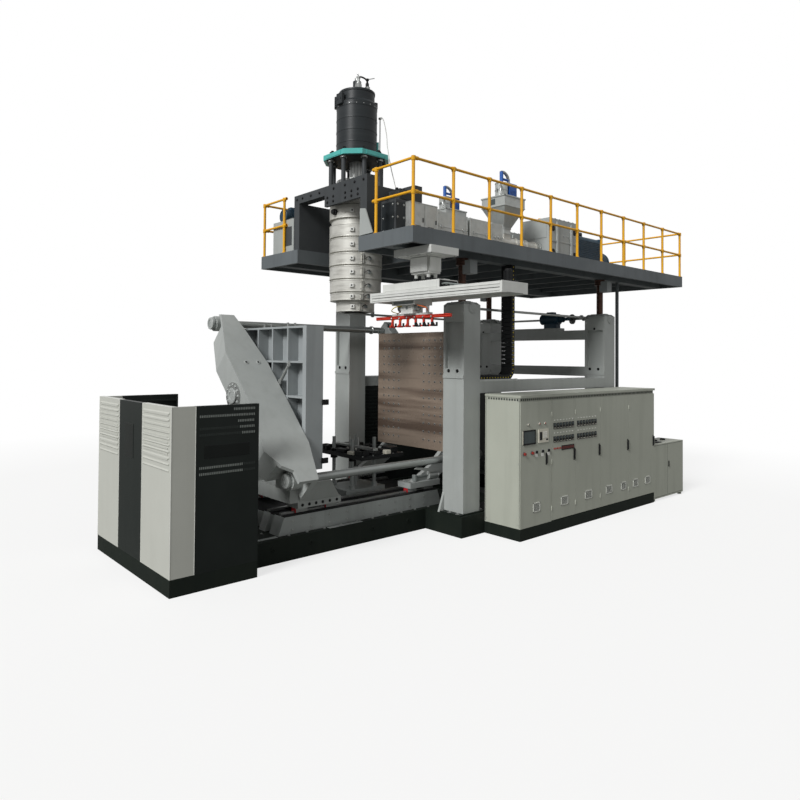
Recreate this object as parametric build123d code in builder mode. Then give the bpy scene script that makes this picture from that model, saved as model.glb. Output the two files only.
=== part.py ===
import os
from math import hypot

from build123d import *

os.makedirs("parts", exist_ok=True)

# Accumulator-head blow moulding machine, millimetres, Z up.
# The origin is on the floor straight below the die axis.
# X runs along the clamping stroke towards the drive end, and Y away from the operator.

# Floor frame
base_height = 330
base_front_x = -2560
base_half_width = 975
wide_base_x = 760
wide_base_half_width = 1775
base_cross_x = (2480, 3990)
base_front_end = 2140
anchor_inset = 320
anchor_edge = 70
anchor_radius = 18
foot_gusset = (118, 310, 40)

# Rail frame on the base
rail_frame_x = (-2050, 1240)
rail_frame_height = 250
rail_beam_outer_y = 870
rail_beam_width = 250
rail_mitre = 90
inner_rail_y = 420
inner_rail_beam_width = 170
rail_cross_width = 200
rail_width = 45
rail_height = 40
rail_side_gap = 0.5
cover_thickness = 15
cover_rail_gap = 12

# Portal columns
column_x = 878
column_depth = 402
column_inner_y = 1250
column_outer_y = 1700
column_top = 3770
rear_column_x = 5180
column_wall = 20
column_recess = 60
column_flange_z = 2570
column_flange_height = 50
column_flange_lip = 14
gearbox_height = 210
gearbox_chamfer = 45
portal_beam_top = 2465
portal_beam_height = 190
portal_beam_width = 400
rear_beam_thickness = 220
rear_beam_upper_z = (3255, 3453)
rear_beam_lower_z = (2487, 2685)
rear_beam_hump = 60

# Lift screws and their line shafts
lift_screw_radius = 64
lift_screw_clearance = 0.5
lift_screw_reach = 655
lift_collar_radius = 105
lift_collar_height = 120
shaft_radius = 22
shaft_end_gap = 0.5
shaft_drop = 65
shaft_offset = 160
flange_radius = 48
flange_thickness = 30
motor_radius = 112
motor_length = 440
motor_y = -600
sprocket_y = -845
sprocket_radius = 100
sprocket_width = 40
pinion_radius = 36
drive_gap = 4

# Platform
platform_x = -630
platform_length = 8545
platform_half_width = 2064
platform_top = 4736
platform_depth = 236
platform_fascia = 60
deck_thickness = 10
rib_spacing = 850
rib_width = 60
rib_depth = 150
carrier_beam_width = 200
notch_length = 1230
notch_half_width = 845
drop_pipe = (6040, -1500)
drop_pipe_radius = 35
drop_pipe_bottom = 1500
rail_post_spacing = 846
handrail_height = 1000
post_radius = 24
handrail_radius = 20
post_inset = 40
rail_joint_gap = 0.3
end_post_y = 690

# Accumulator head, hung on the platform notch
head_bottom = 3620
head_rings = [
    (3620, 3780, 327),
    (3800, 3920, 428),
    (3940, 4140, 438),
    (4160, 4370, 445),
    (4390, 4590, 452),
    (4610, 4840, 452),
    (4860, 5070, 452),
    (5170, 5390, 452),
    (5410, 5550, 442),
]
head_groove_depth = 16
head_bore_radius = 330
head_bore_z = (3950, 5450)
mandrel_radius = 190
mandrel_foot_z = 3680
melt_passage_radius = 240
head_flange_radius = 520
head_bar_z = (5550, 5700)
head_bar_width = 180
head_bar_x = 600
apron_y = 100
apron_bottom = 5360
apron_thickness = 60
stand_width = 160
pillar_radius = 38
pillar_circle = 450
plate_half = 500
plate_chamfer = 220
plate_z = (6200, 6285)
cylinder_radius = 350
cylinder_bore = 280
cylinder_height = 1115
cylinder_base_height = 60
cylinder_cap_radius = 305
cylinder_cap_height = 250
cylinder_head_gap = 60
rod_clearance = 6
core_travel = 30
valve_stub_radius = 72
valve_stub_height = 210
push_rod_radius = 30
push_rod_circle = 260
crosshead_radius = 340
crosshead_z = (5740, 5860)
injection_stroke = 330
crosshead_rise = 40
ram_radius = 120
piston_height = 150
core_rod_radius = 40
core_radius = 200
core_rod_end = 60
running_gap = 0.5

# Extruders on the deck
extruder_y = 750
barrel_z = 5100
barrel_radius = 110
barrel_start = 820
barrel_end = 4080
screw_radius = 60
screw_gap = 0.5
manifold_x = (640, 820)
inlet_radius = 90
inlet_joint_x = 560
barrel_bracket_x = (1250, 2500)
cover_half_width = 300
cover_half_height = 245
cover_runs = [(930, 1690), (1760, 2300), (2360, 2680)]
cover_wall = 8
hopper_x = 3080
hopper_length = 620
hopper_depth = 560
hopper_height = 590
hopper_rim = 200
throat_size = 200
throat_bore = 96
throat_flange = 100
throat_rise = 150
throat_top = barrel_z + barrel_radius + throat_rise
hopper_top = throat_top + hopper_height
feed_housing_length = 240
plate_seam = 0.3
hopper_wall = 8
receiver_radius = 120
receiver_height = 300
loader_size = (220, 220, 290)
gearbox_x = (4120, 5190)
gearbox_half_width = 340
gearbox_top = 5700
main_motor_x = (5205, 6090)
main_motor_half = 330
fan_length = 520
fan_radius = 250
junction_boxes = [(-93, 219), (225, 510)]
junction_y = (-1450, -1340)
junction_height = 532

# Hydraulic block on the far front corner of the deck
tank_x = (-560, 250)
tank_y = (1080, 1760)
tank_height = 600
pump_motor_radius = 124
pump_motor_length = 420

# Take-out robot under the platform
robot_slab = (590, 800, 110)
robot_y = -1700
robot_pillar = (240, 380, 270)
robot_rod_radius = 28
robot_rod_spread = (150, 260)
robot_box_y = (-2170, -940)
robot_box_z = (3870, 4000)
robot_beam_y = (-3370, -730)
robot_beam_z = (3720, 3870)
robot_beam_half = 275
carriage_half_length = 260
channel_lip = 90
channel_depth = 40
slide_gap = 0.5
carriage_y = -1400
carriage_height = 60
arm_z = 3480
jaw_length = 800
jaw_radius = 22

# Clamping unit
platen_half_width = 920
platen_z = (1210, 3310)
platen_face_x = 1340
platen_front_thickness = 120
platen_depth = 305
platen_rib = 30
tie_bar_y = 1134
tie_bar_dz = 1118
clamp_axis_z = 2268
tie_bar_radius = 60
tie_bar_nut_radius = 97
tie_bar_nut_length = 60
tie_bar_start = -2120
tie_sleeve_x = (-2060, -1800)
tie_sleeve_radius = 125
yoke_near_offset = 280
yoke_far_offset = -140
yoke_top_z = 3525
yoke_top_y = 1210
yoke_end = 1810
yoke_plate = 55
yoke_pocket_x = -1900
yoke_pocket_upper = -1200
yoke_pocket_lower = 1430
clamp_cylinder_radius = 200
clamp_bore = 160
clamp_rod_radius = 90
clamp_rear_cap = 20
clamp_front_cap = 30
clamp_piston = 50
clamp_hub_x = -2336
clamp_hub_radius = 118
slab_x = (-1730, -950)
slab_y = (560, 870)
slab_z = (668, 760)
pedestal_top_z = 1050
pedestal_top_x = (-1750, -1235)
pedestal_top_y = (700, 1000)
cross_beam_x = (-1870, -1610)
cross_beam_z = (760, 965)
upright_x = (-1870, -1665)
upright_width = 60
guide_block_length = 200
guide_block_width = 100
guide_block_bottom = 600
back_arm_thickness = 185
back_arm_width = 300
mould_hole_radius = 12
mould_hole_depth = 60
mould_hole_columns = [330, 470, 610, 750]
mould_hole_rows = 13
mould_hole_pitch = 150
rod_flange_radius = 150
rod_flange_thickness = 45
seat_gap = 0.02

# Blow pin and spreader unit
blow_base_x = (-420, 420)
blow_base_y = (-330, 330)
blow_base_height = 90
blow_post_radius = 30
blow_post_x = 240
blow_post_y = 250
blow_table_z = (1190, 1250)
blow_table_x = (-350, 550)
blow_table_y = (-650, 600)
blow_lift = 200
blow_cylinder_radius = 70
blow_cylinder_top = 1000
blow_rod_radius = 35
spreader_pin_radius = 20

# Control cabinet
cabinet_x = (1322, 5698)
cabinet_y = (-2482, -1780)
cabinet_height = 2271
cabinet_plinth = 190
cabinet_wall = 20
cabinet_roof = 40
door_edges = [2168, 2867, 3672, 4689]
door_gap = 4
door_seat_gap = 0.3
handle_inset = 24
handle_width = 28
handle_depth = 22
handle_z = (1150, 1320)
door_thickness = 22
door_bottom = 200
door_top = 2170
stop_x = (1415, 1620)
stop_z = 1353
stop_head_radius = 24
stop_travel = 6
knob_x = (1740, 1907, 2074)
knob_z = 1359
knob_radius = 22
control_stem_radius = 12
control_stem_reach = 16
lamp_x = (1516, 1809, 1960)
lamp_z = 1806
lamp_radius = 16
aux_x = (cabinet_x[1], 6990)
aux_y = (-2482, -1960)
aux_height = 1140

# Guard around the clamp end
guard_x = (-3805, -2625)
guard_half_width = 1280
guard_height = 2245
guard_plinth = 215
guard_panel = 70
guard_front_split = 450
guard_front_centre = (-375, 440)
guard_side_strip = 307
louvre_rows = 9
louvre_pitch = 66
louvre_top = 2160
louvre_height = 22
louvre_depth = 8


def block(x, y, z, mode=Mode.ADD):
    """Add or cut a box that fills the three given ranges."""
    centre = ((x[0] + x[1]) / 2, (y[0] + y[1]) / 2, (z[0] + z[1]) / 2)
    with Locations(centre):
        Box(abs(x[1] - x[0]), abs(y[1] - y[0]), abs(z[1] - z[0]), mode=mode)


def both_sides(y):
    """Give a Y range and its mirror image."""
    return [(y[0], y[1]), (-y[1], -y[0])]


def rod(start, end, radius, mode=Mode.ADD):
    """Add or cut a round bar between two points."""
    path = Vector(*end) - Vector(*start)
    with Locations(Plane(origin=start, z_dir=path).location):
        Cylinder(radius, path.length, align=(Align.CENTER, Align.CENTER, Align.MIN), mode=mode)


# Floor plinths: machine base, guard plinth and cabinet plinth
wide_end = rear_column_x + column_depth
with BuildPart() as floor_plinths:
    block((base_front_x, base_front_end), (-base_half_width, base_half_width), (0, base_height))
    for side in both_sides((column_inner_y, wide_base_half_width)):
        block((wide_base_x, wide_end), side, (0, base_height))
    for cross_x in (wide_base_x, *base_cross_x, rear_column_x):
        block((cross_x, cross_x + column_depth), (-column_inner_y, column_inner_y), (0, base_height))
    anchor_x = (column_x + column_depth + anchor_inset, rear_column_x - anchor_inset)
    anchor_y = wide_base_half_width - anchor_edge
    for x in anchor_x:
        for y in (-anchor_y, anchor_y):
            rod((x, y, 0), (x, y, base_height), anchor_radius, Mode.SUBTRACT)
    inner = guard_half_width - guard_panel
    for side in both_sides((inner, guard_half_width)):
        block(guard_x, side, (0, guard_plinth))
    block((guard_x[0], guard_x[0] + guard_panel), (-inner, inner), (0, guard_plinth))
    block(cabinet_x, (cabinet_y[0], -wide_base_half_width), (0, cabinet_plinth))
floor_plinths.part.label = "floor_plinths"
export_step(floor_plinths.part, "parts/floor_plinths.step")

# Rail frame: four beams along X with mitred ends, tied by two cross members
rail_bottom = base_height
rail_top = rail_bottom + rail_frame_height
outer_beam = (rail_beam_outer_y - rail_beam_width, rail_beam_outer_y)
inner_beam = (inner_rail_y - inner_rail_beam_width / 2, inner_rail_y + inner_rail_beam_width / 2)
with BuildPart() as rail_frame:
    for y_range in both_sides(outer_beam) + both_sides(inner_beam):
        with BuildSketch(Plane.XZ.offset(-y_range[1])):
            with BuildLine():
                Polyline(
                    (rail_frame_x[0], rail_bottom),
                    (rail_frame_x[1], rail_bottom),
                    (rail_frame_x[1] - rail_mitre, rail_top),
                    (rail_frame_x[0] + rail_mitre, rail_top),
                    close=True,
                )
            make_face()
        extrude(amount=y_range[1] - y_range[0])
    for start in (rail_frame_x[0] + rail_mitre, rail_frame_x[1] - rail_mitre - rail_cross_width):
        block(
            (start, start + rail_cross_width),
            (-outer_beam[0], outer_beam[0]),
            (rail_bottom, rail_top - cover_thickness),
        )
rail_frame.part.label = "rail_frame"
export_step(rail_frame.part, "parts/rail_frame.step")

# Linear guide rails
rail_lines = [rail_beam_outer_y - rail_beam_width / 2, inner_rail_y]
rail_run = (rail_frame_x[0] + rail_mitre + 10, rail_frame_x[1] - rail_mitre - 10)
with BuildPart() as guide_rails:
    for line in rail_lines:
        for y in (-line, line):
            block(rail_run, (y - rail_width / 2, y + rail_width / 2), (rail_top, rail_top + rail_height))
guide_rails.part.label = "guide_rails"
export_step(guide_rails.part, "parts/guide_rails.step")

# Way covers: black strips beside the rails and over the bed between them
with BuildPart() as way_covers:
    rail_side = rail_width / 2 + cover_rail_gap
    strips = [
        (rail_lines[0] + rail_side, rail_beam_outer_y - 6),
        (outer_beam[0] + 6, rail_lines[0] - rail_side),
        (inner_rail_y + rail_side, inner_beam[1]),
        (inner_beam[0], inner_rail_y - rail_side),
    ]
    for strip in strips:
        for y_range in both_sides(strip):
            block(rail_run, y_range, (rail_top, rail_top + cover_thickness))
    for x_range in ((rail_run[0], blow_base_x[0] - 20), (blow_base_x[1] + 20, rail_run[1])):
        block(x_range, (-inner_beam[0], inner_beam[0]), (rail_top - cover_thickness, rail_top))
    for y_range in both_sides((inner_beam[1], outer_beam[0])):
        block(rail_run, y_range, (rail_top - cover_thickness, rail_top))
way_covers.part.label = "way_covers"
export_step(way_covers.part, "parts/way_covers.step")

# Guard: four pale folded corner panels with pressed louvres
guard_z = (guard_plinth, guard_height)
with BuildPart() as guard_corner_panels:
    front = guard_x[0]
    for side in (-1, 1):
        split = guard_front_centre[0] if side < 0 else guard_front_centre[1]
        edge = side * guard_half_width
        block((front, front + guard_panel), sorted((split, edge)), guard_z)
        block(
            (front, front + guard_side_strip),
            sorted((edge - side * guard_panel, edge)),
            guard_z,
        )
        for row in range(louvre_rows):
            z = louvre_top - row * louvre_pitch
            block(
                (front - louvre_depth, front),
                sorted((split + side * 70, edge - side * 90)),
                (z - louvre_height, z),
            )
guard_corner_panels.part.label = "guard_corner_panels"
export_step(guard_corner_panels.part, "parts/guard_corner_panels.step")

# Dark sheet panels: guard centre and sides, and the louvred cover between the far columns
with BuildPart() as dark_panels:
    block(
        (guard_x[0], guard_x[0] + guard_panel),
        (guard_front_centre[0] + 3, guard_front_centre[1] - 3),
        guard_z,
    )
    for y_range in both_sides((guard_half_width - guard_panel, guard_half_width)):
        block((guard_x[0] + guard_side_strip + 3, guard_x[1]), y_range, guard_z)
    beam_bottom = portal_beam_top - portal_beam_height
    panel_z = (base_height, beam_bottom)
    panel_x = (column_x + column_depth, rear_column_x)
    panel_y = (column_inner_y + 60, column_inner_y + 90)
    block(panel_x, panel_y, panel_z)
    for row in range(16):
        z = beam_bottom - 80 - row * 70
        block(
            (panel_x[0] + 40, panel_x[0] + 700),
            (panel_y[0] - 14, panel_y[0]),
            (z - 30, z),
        )
dark_panels.part.label = "dark_panels"
export_step(dark_panels.part, "parts/dark_panels.step")

# Portal columns: box sections in two lengths, bolted at a flange, with a recessed upper face
column_body_top = column_top - gearbox_height
screw_bore = lift_screw_radius + lift_screw_clearance


def column(x_start, y_range):
    """One box column, hollow for the lift screw, with a bolted joint line."""
    y_sorted = sorted(y_range)
    x_range = (x_start, x_start + column_depth)
    block(x_range, y_sorted, (base_height, column_body_top))
    block(
        (x_range[0], x_range[0] + column_recess),
        (y_sorted[0] + 45, y_sorted[1] - 45),
        (column_flange_z + 110, column_body_top - 120),
        Mode.SUBTRACT,
    )
    block(
        (x_range[0] + column_recess + column_wall, x_range[1] - column_wall),
        (y_sorted[0] + column_wall, y_sorted[1] - column_wall),
        (base_height + column_wall, column_body_top),
        Mode.SUBTRACT,
    )
    block(
        (x_range[0] - column_flange_lip, x_range[0]),
        y_sorted,
        (column_flange_z - column_flange_height, column_flange_z),
    )


def foot_gusset_rib(y_start):
    """Triangular rib that braces a front column on the base."""
    length, height, width = foot_gusset
    with BuildSketch(Plane.XZ.offset(-y_start)) as rib:
        with BuildLine():
            Polyline(
                (column_x, base_height),
                (column_x - length, base_height),
                (column_x, base_height + height),
                close=True,
            )
        make_face()
    extrude(rib.sketch, amount=width)


with BuildPart() as front_columns:
    for y_range in both_sides((column_inner_y, column_outer_y)):
        column(column_x, y_range)
    foot_gusset_rib(-column_inner_y)
    foot_gusset_rib(column_inner_y + foot_gusset[2])
front_columns.part.label = "front_columns"
export_step(front_columns.part, "parts/front_columns.step")

with BuildPart() as rear_columns:
    for y_range in both_sides((column_inner_y, column_outer_y)):
        column(rear_column_x, y_range)
rear_columns.part.label = "rear_columns"
export_step(rear_columns.part, "parts/rear_columns.step")

# Beams between the columns
with BuildPart() as portal_beams:
    span = (column_x + column_depth, rear_column_x)
    for y_range in both_sides((column_outer_y - portal_beam_width, column_outer_y)):
        block(span, y_range, (portal_beam_top - portal_beam_height, portal_beam_top))
    beam_x = (rear_column_x, rear_column_x + rear_beam_thickness)
    for z_range in (rear_beam_upper_z, rear_beam_lower_z):
        block(beam_x, (-column_inner_y, column_inner_y), z_range)
    block(
        beam_x,
        (-620, 560),
        (rear_beam_upper_z[1], rear_beam_upper_z[1] + rear_beam_hump),
    )
portal_beams.part.label = "portal_beams"
export_step(portal_beams.part, "parts/portal_beams.step")

# Lift gearboxes on the column heads
column_centre_y = (column_inner_y + column_outer_y) / 2
column_centres = [
    (x + column_depth / 2, y)
    for x in (column_x, rear_column_x)
    for y in (-column_centre_y, column_centre_y)
]
shaft_z = column_top - shaft_drop
with BuildPart() as lift_gearboxes:
    for centre_x, centre_y in column_centres:
        with Locations((centre_x, centre_y, column_body_top + gearbox_height / 2)):
            Box(column_depth, column_outer_y - column_inner_y, gearbox_height)
    top_edges = lift_gearboxes.edges().filter_by_position(Axis.Z, column_top - 1, column_top + 1)
    chamfer(top_edges, gearbox_chamfer)
    for centre_x, centre_y in column_centres:
        rod((centre_x, centre_y, column_body_top), (centre_x, centre_y, column_top),
            screw_bore, Mode.SUBTRACT)
lift_gearboxes.part.label = "lift_gearboxes"
export_step(lift_gearboxes.part, "parts/lift_gearboxes.step")

# Line shafts between the gearboxes, with flange couplings
rear_shaft_x = rear_column_x + column_depth / 2


def line_shaft(start, end):
    """A shaft with a flange coupling near each end."""
    rod(start, end, shaft_radius)
    run = Vector(*end) - Vector(*start)
    for share in (0.06, 0.94):
        middle = Vector(*start) + run * share
        half = run.normalized() * (flange_thickness / 2)
        rod(tuple(middle - half), tuple(middle + half), flange_radius)


shaft_from = column_x + column_depth + shaft_end_gap
shaft_to = rear_column_x - shaft_end_gap
shaft_y = column_centre_y - shaft_offset
with BuildPart() as lift_shaft_near:
    line_shaft((shaft_from, -shaft_y, shaft_z), (shaft_to, -shaft_y, shaft_z))
lift_shaft_near.part.label = "lift_shaft_near"
export_step(lift_shaft_near.part, "parts/lift_shaft_near.step")

with BuildPart() as lift_shaft_far:
    line_shaft((shaft_from, shaft_y, shaft_z), (shaft_to, shaft_y, shaft_z))
lift_shaft_far.part.label = "lift_shaft_far"
export_step(lift_shaft_far.part, "parts/lift_shaft_far.step")

shaft_end_y = column_inner_y - shaft_end_gap
with BuildPart() as lift_shaft_rear:
    line_shaft((rear_shaft_x, -shaft_end_y, shaft_z), (rear_shaft_x, shaft_end_y, shaft_z))
    rod(
        (rear_shaft_x, sprocket_y, shaft_z),
        (rear_shaft_x, sprocket_y + sprocket_width, shaft_z),
        sprocket_radius,
    )
lift_shaft_rear.part.label = "lift_shaft_rear"
export_step(lift_shaft_rear.part, "parts/lift_shaft_rear.step")

# Lift motor on the hump of the rear beam, with the pinion that drives the rear shaft
motor_z = shaft_z
motor_x = rear_shaft_x - sprocket_radius - pinion_radius - drive_gap
motor_seat_z = rear_beam_upper_z[1] + rear_beam_hump
with BuildPart() as lift_motor:
    rod((motor_x, motor_y, motor_z), (motor_x, motor_y + motor_length, motor_z), motor_radius)
    rod((motor_x, motor_y - 100, motor_z), (motor_x, motor_y, motor_z), motor_radius * 0.62)
    rod((motor_x, sprocket_y, motor_z), (motor_x, motor_y - 100, motor_z), pinion_radius)
    block(
        (motor_x - 60, motor_x + 90),
        (motor_y + 40, motor_y + 360),
        (motor_seat_z, motor_z - motor_radius + 40),
    )
    block(
        (motor_x - 60, motor_x + 60),
        (motor_y + 150, motor_y + 270),
        (motor_z + motor_radius - 20, motor_z + motor_radius + 45),
    )
lift_motor.part.label = "lift_motor"
export_step(lift_motor.part, "parts/lift_motor.step")

# Platform frame: deck, fascia, ribs and carrier beams, with a notch for the head
platform_end = platform_x + platform_length
platform_bottom = platform_top - platform_depth
notch_end = platform_x + notch_length
with BuildPart() as platform_frame:
    block(
        (platform_x, platform_end),
        (-platform_half_width, platform_half_width),
        (platform_top - deck_thickness, platform_top),
    )
    for y_range in both_sides((platform_half_width - platform_fascia, platform_half_width)):
        block((platform_x, platform_end), y_range, (platform_bottom, platform_top))
    for x_range in (
        (platform_x, platform_x + platform_fascia),
        (platform_end - platform_fascia, platform_end),
    ):
        block(x_range, (-platform_half_width, platform_half_width), (platform_bottom, platform_top))
    half_carrier = carrier_beam_width / 2
    for y in (-column_centre_y, column_centre_y):
        block(
            (platform_x, platform_end),
            (y - half_carrier, y + half_carrier),
            (platform_bottom, platform_top),
        )
    rib_count = int((platform_end - notch_end) // rib_spacing)
    for index in range(1, rib_count + 1):
        x = notch_end + index * rib_spacing
        block(
            (x - rib_width / 2, x + rib_width / 2),
            (-platform_half_width, platform_half_width),
            (platform_top - rib_depth, platform_top),
        )
    block(
        (platform_x, notch_end + platform_fascia),
        (-notch_half_width - platform_fascia, notch_half_width + platform_fascia),
        (platform_bottom, platform_top),
    )
    block(
        (platform_x - 10, notch_end),
        (-notch_half_width, notch_half_width),
        (platform_bottom - 10, platform_top + 10),
        Mode.SUBTRACT,
    )
    rod((drop_pipe[0], drop_pipe[1], drop_pipe_bottom), (drop_pipe[0], drop_pipe[1], platform_top),
        drop_pipe_radius)
platform_frame.part.label = "platform_frame"
export_step(platform_frame.part, "parts/platform_frame.step")

# Handrail round the deck, open at the head notch
rail_y = platform_half_width - post_inset
rail_x = (platform_x + post_inset, platform_end - post_inset)
post_count = int((rail_x[1] - rail_x[0]) // rail_post_spacing) + 1
post_pitch = (rail_x[1] - rail_x[0]) / (post_count - 1)
side_stop = {-1: -1215, 1: 1345}
rail_levels = (platform_top + handrail_height / 2, platform_top + handrail_height - handrail_radius)
corner_reach = rail_y - handrail_radius - rail_joint_gap
tube_gap = handrail_radius + rail_joint_gap
post_spans = (
    (platform_top, rail_levels[0] - tube_gap),
    (rail_levels[0] + tube_gap, rail_levels[1] - tube_gap),
)
post_places = [
    (rail_x[0] + index * post_pitch, side * rail_y)
    for side in (-1, 1)
    for index in range(post_count)
]
post_places += [(rail_x[0], side_stop[side]) for side in (-1, 1)]
post_places += [(rail_x[1], y) for y in (-end_post_y, end_post_y)]
with BuildPart() as handrail:
    for x, y in post_places:
        for low, high in post_spans:
            rod((x, y, low), (x, y, high), post_radius)
    for z in rail_levels:
        for side in (-1, 1):
            rod((rail_x[0] - post_radius, side * rail_y, z), (rail_x[1] + post_radius, side * rail_y, z),
                handrail_radius)
            rod((rail_x[0], side_stop[side] - side * post_radius, z),
                (rail_x[0], side * corner_reach, z), handrail_radius)
        rod((rail_x[1], -corner_reach, z), (rail_x[1], corner_reach, z), handrail_radius)
handrail.part.label = "handrail"
export_step(handrail.part, "parts/handrail.step")

# Lift screws: they hang from the platform into the columns
with BuildPart() as lift_screws:
    for centre_x, centre_y in column_centres:
        rod((centre_x, centre_y, column_top - lift_screw_reach),
            (centre_x, centre_y, platform_bottom), lift_screw_radius)
        rod((centre_x, centre_y, platform_bottom - lift_collar_height),
            (centre_x, centre_y, platform_bottom), lift_collar_radius)
lift_screws.part.label = "lift_screws"
export_step(lift_screws.part, "parts/lift_screws.step")

# Accumulator head body: heater-banded rings over a bored barrel with a fixed mandrel
barrel_core_radius = 436
head_top = head_rings[-1][1]
with BuildPart() as die_head_body:
    with BuildSketch(Plane.XZ):
        with BuildLine():
            profile = [(core_rod_radius + running_gap, mandrel_foot_z)]
            profile.append((mandrel_radius - 30, mandrel_foot_z))
            profile.append((mandrel_radius, head_bore_z[0] - 60))
            profile.append((mandrel_radius, head_bore_z[1]))
            profile.append((head_bore_radius, head_bore_z[1]))
            profile.append((head_bore_radius, head_bore_z[0]))
            profile.append((melt_passage_radius, head_bore_z[0] - 130))
            profile.append((melt_passage_radius, head_bottom))
            for low, high, radius in head_rings:
                profile.append((radius, low))
                profile.append((radius, high))
                groove = min(radius, barrel_core_radius) - head_groove_depth
                if high < head_top:
                    profile.append((groove, high))
                    following = head_rings[head_rings.index((low, high, radius)) + 1][0]
                    profile.append((groove, following))
            profile.append((core_rod_radius + running_gap, head_top))
            Polyline(*profile, close=True)
        make_face()
    revolve(axis=Axis.Z)
    rod((head_bore_radius + 20, 0, barrel_z), (inlet_joint_x, 0, barrel_z), inlet_radius)
    with BuildSketch(Plane.XY.offset(head_bore_z[1])):
        with PolarLocations(push_rod_circle, 4, start_angle=45):
            Circle(push_rod_radius + running_gap)
    extrude(amount=head_top - head_bore_z[1], mode=Mode.SUBTRACT)
    with BuildSketch(Plane.XY.offset(head_bottom)):
        with PolarLocations(285, 8, start_angle=22.5):
            Circle(8)
    extrude(amount=50, mode=Mode.SUBTRACT)
die_head_body.part.label = "die_head_body"
export_step(die_head_body.part, "parts/die_head_body.step")

# Head frame: two bars across the notch on side stands, a round flange and eight pillars
with BuildPart() as head_frame:
    bar_y = notch_half_width + stand_width
    for side in (-1, 1):
        x_range = sorted((side * head_bar_x, side * (head_bar_x - head_bar_width)))
        block(x_range, (-bar_y, bar_y), head_bar_z)
        stand_y = sorted((side * notch_half_width, side * bar_y))
        block((-head_bar_x, head_bar_x), stand_y, (platform_top, head_bar_z[0]))
    block(
        (-head_bar_x, -head_bar_x + apron_thickness),
        (-notch_half_width, apron_y),
        (apron_bottom, head_bar_z[0]),
    )
    with BuildSketch(Plane.XY.offset(head_bar_z[0])):
        Circle(head_flange_radius)
    extrude(amount=head_bar_z[1] - head_bar_z[0])
    with BuildSketch(Plane.XY.offset(head_bar_z[1])):
        with PolarLocations(pillar_circle, 8, start_angle=22.5):
            Circle(pillar_radius)
    extrude(amount=plate_z[0] - head_bar_z[1])
    with BuildSketch(Plane.XY.offset(head_bar_z[0])):
        with PolarLocations(push_rod_circle, 4, start_angle=45):
            Circle(push_rod_radius + running_gap)
        Circle(core_rod_radius + running_gap)
    extrude(amount=head_bar_z[1] - head_bar_z[0], mode=Mode.SUBTRACT)
head_frame.part.label = "head_frame"
export_step(head_frame.part, "parts/head_frame.step")

# Head top plate: a square plate with cut corners, bored for the ram
with BuildPart() as head_top_plate:
    with BuildSketch(Plane.XY.offset(plate_z[0])):
        Rectangle(2 * plate_half, 2 * plate_half)
        chamfer(vertices(), plate_chamfer)
        Circle(ram_radius + running_gap, mode=Mode.SUBTRACT)
    extrude(amount=plate_z[1] - plate_z[0])
head_top_plate.part.label = "head_top_plate"
export_step(head_top_plate.part, "parts/head_top_plate.step")

# Hydraulic cylinder on the top plate, with its cap and valve stub
cylinder_z = (plate_z[1], plate_z[1] + cylinder_height)
cylinder_joint = cylinder_z[1] - cylinder_cap_height
stub_top = cylinder_z[1] + valve_stub_height
with BuildPart() as head_cylinder:
    with BuildSketch(Plane.XZ):
        with BuildLine():
            Polyline(
                (ram_radius + running_gap, cylinder_z[0]),
                (cylinder_radius, cylinder_z[0]),
                (cylinder_radius, cylinder_joint),
                (cylinder_cap_radius, cylinder_joint),
                (cylinder_cap_radius, cylinder_z[1]),
                (valve_stub_radius, cylinder_z[1]),
                (valve_stub_radius, stub_top),
                (core_rod_radius + running_gap, stub_top),
                (core_rod_radius + running_gap, cylinder_joint + cylinder_head_gap),
                (cylinder_bore, cylinder_joint + cylinder_head_gap),
                (cylinder_bore, cylinder_z[0] + cylinder_base_height),
                (ram_radius + running_gap, cylinder_z[0] + cylinder_base_height),
                close=True,
            )
        make_face()
    revolve(axis=Axis.Z)
    block((-390, -cylinder_radius + 20), (-70, 70), (cylinder_joint - 20, cylinder_joint + 160))
    block((300, 372), (-60, 60), (cylinder_joint - 160, cylinder_joint + 40))
    block((40, 190), (-90, 90), (cylinder_z[1], cylinder_z[1] + 70))
head_cylinder.part.label = "head_cylinder"
export_step(head_cylinder.part, "parts/head_cylinder.step")

# Injection piston: hydraulic piston, ram, crosshead, push rods and the melt piston ring
ring_top = head_bore_z[1] - crosshead_rise - injection_stroke
ring_z = (ring_top - piston_height, ring_top)
ram_top = cylinder_joint + cylinder_head_gap - injection_stroke - crosshead_rise
with BuildPart() as injection_piston:
    rod((0, 0, crosshead_z[0]), (0, 0, ram_top), ram_radius)
    rod((0, 0, ram_top - piston_height), (0, 0, ram_top), cylinder_bore - running_gap)
    rod((0, 0, crosshead_z[0]), (0, 0, crosshead_z[1]), crosshead_radius)
    with BuildSketch(Plane.XY.offset(ring_z[0])):
        with PolarLocations(push_rod_circle, 4, start_angle=45):
            Circle(push_rod_radius)
    extrude(amount=crosshead_z[0] - ring_z[0])
    with BuildSketch(Plane.XY.offset(ring_z[0])):
        Circle(head_bore_radius - running_gap)
        Circle(mandrel_radius + running_gap, mode=Mode.SUBTRACT)
    extrude(amount=piston_height)
    rod((0, 0, crosshead_z[0] - 5), (0, 0, ram_top + 5), core_rod_radius + rod_clearance,
        Mode.SUBTRACT)
injection_piston.part.label = "injection_piston"
export_step(injection_piston.part, "parts/injection_piston.step")

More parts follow.
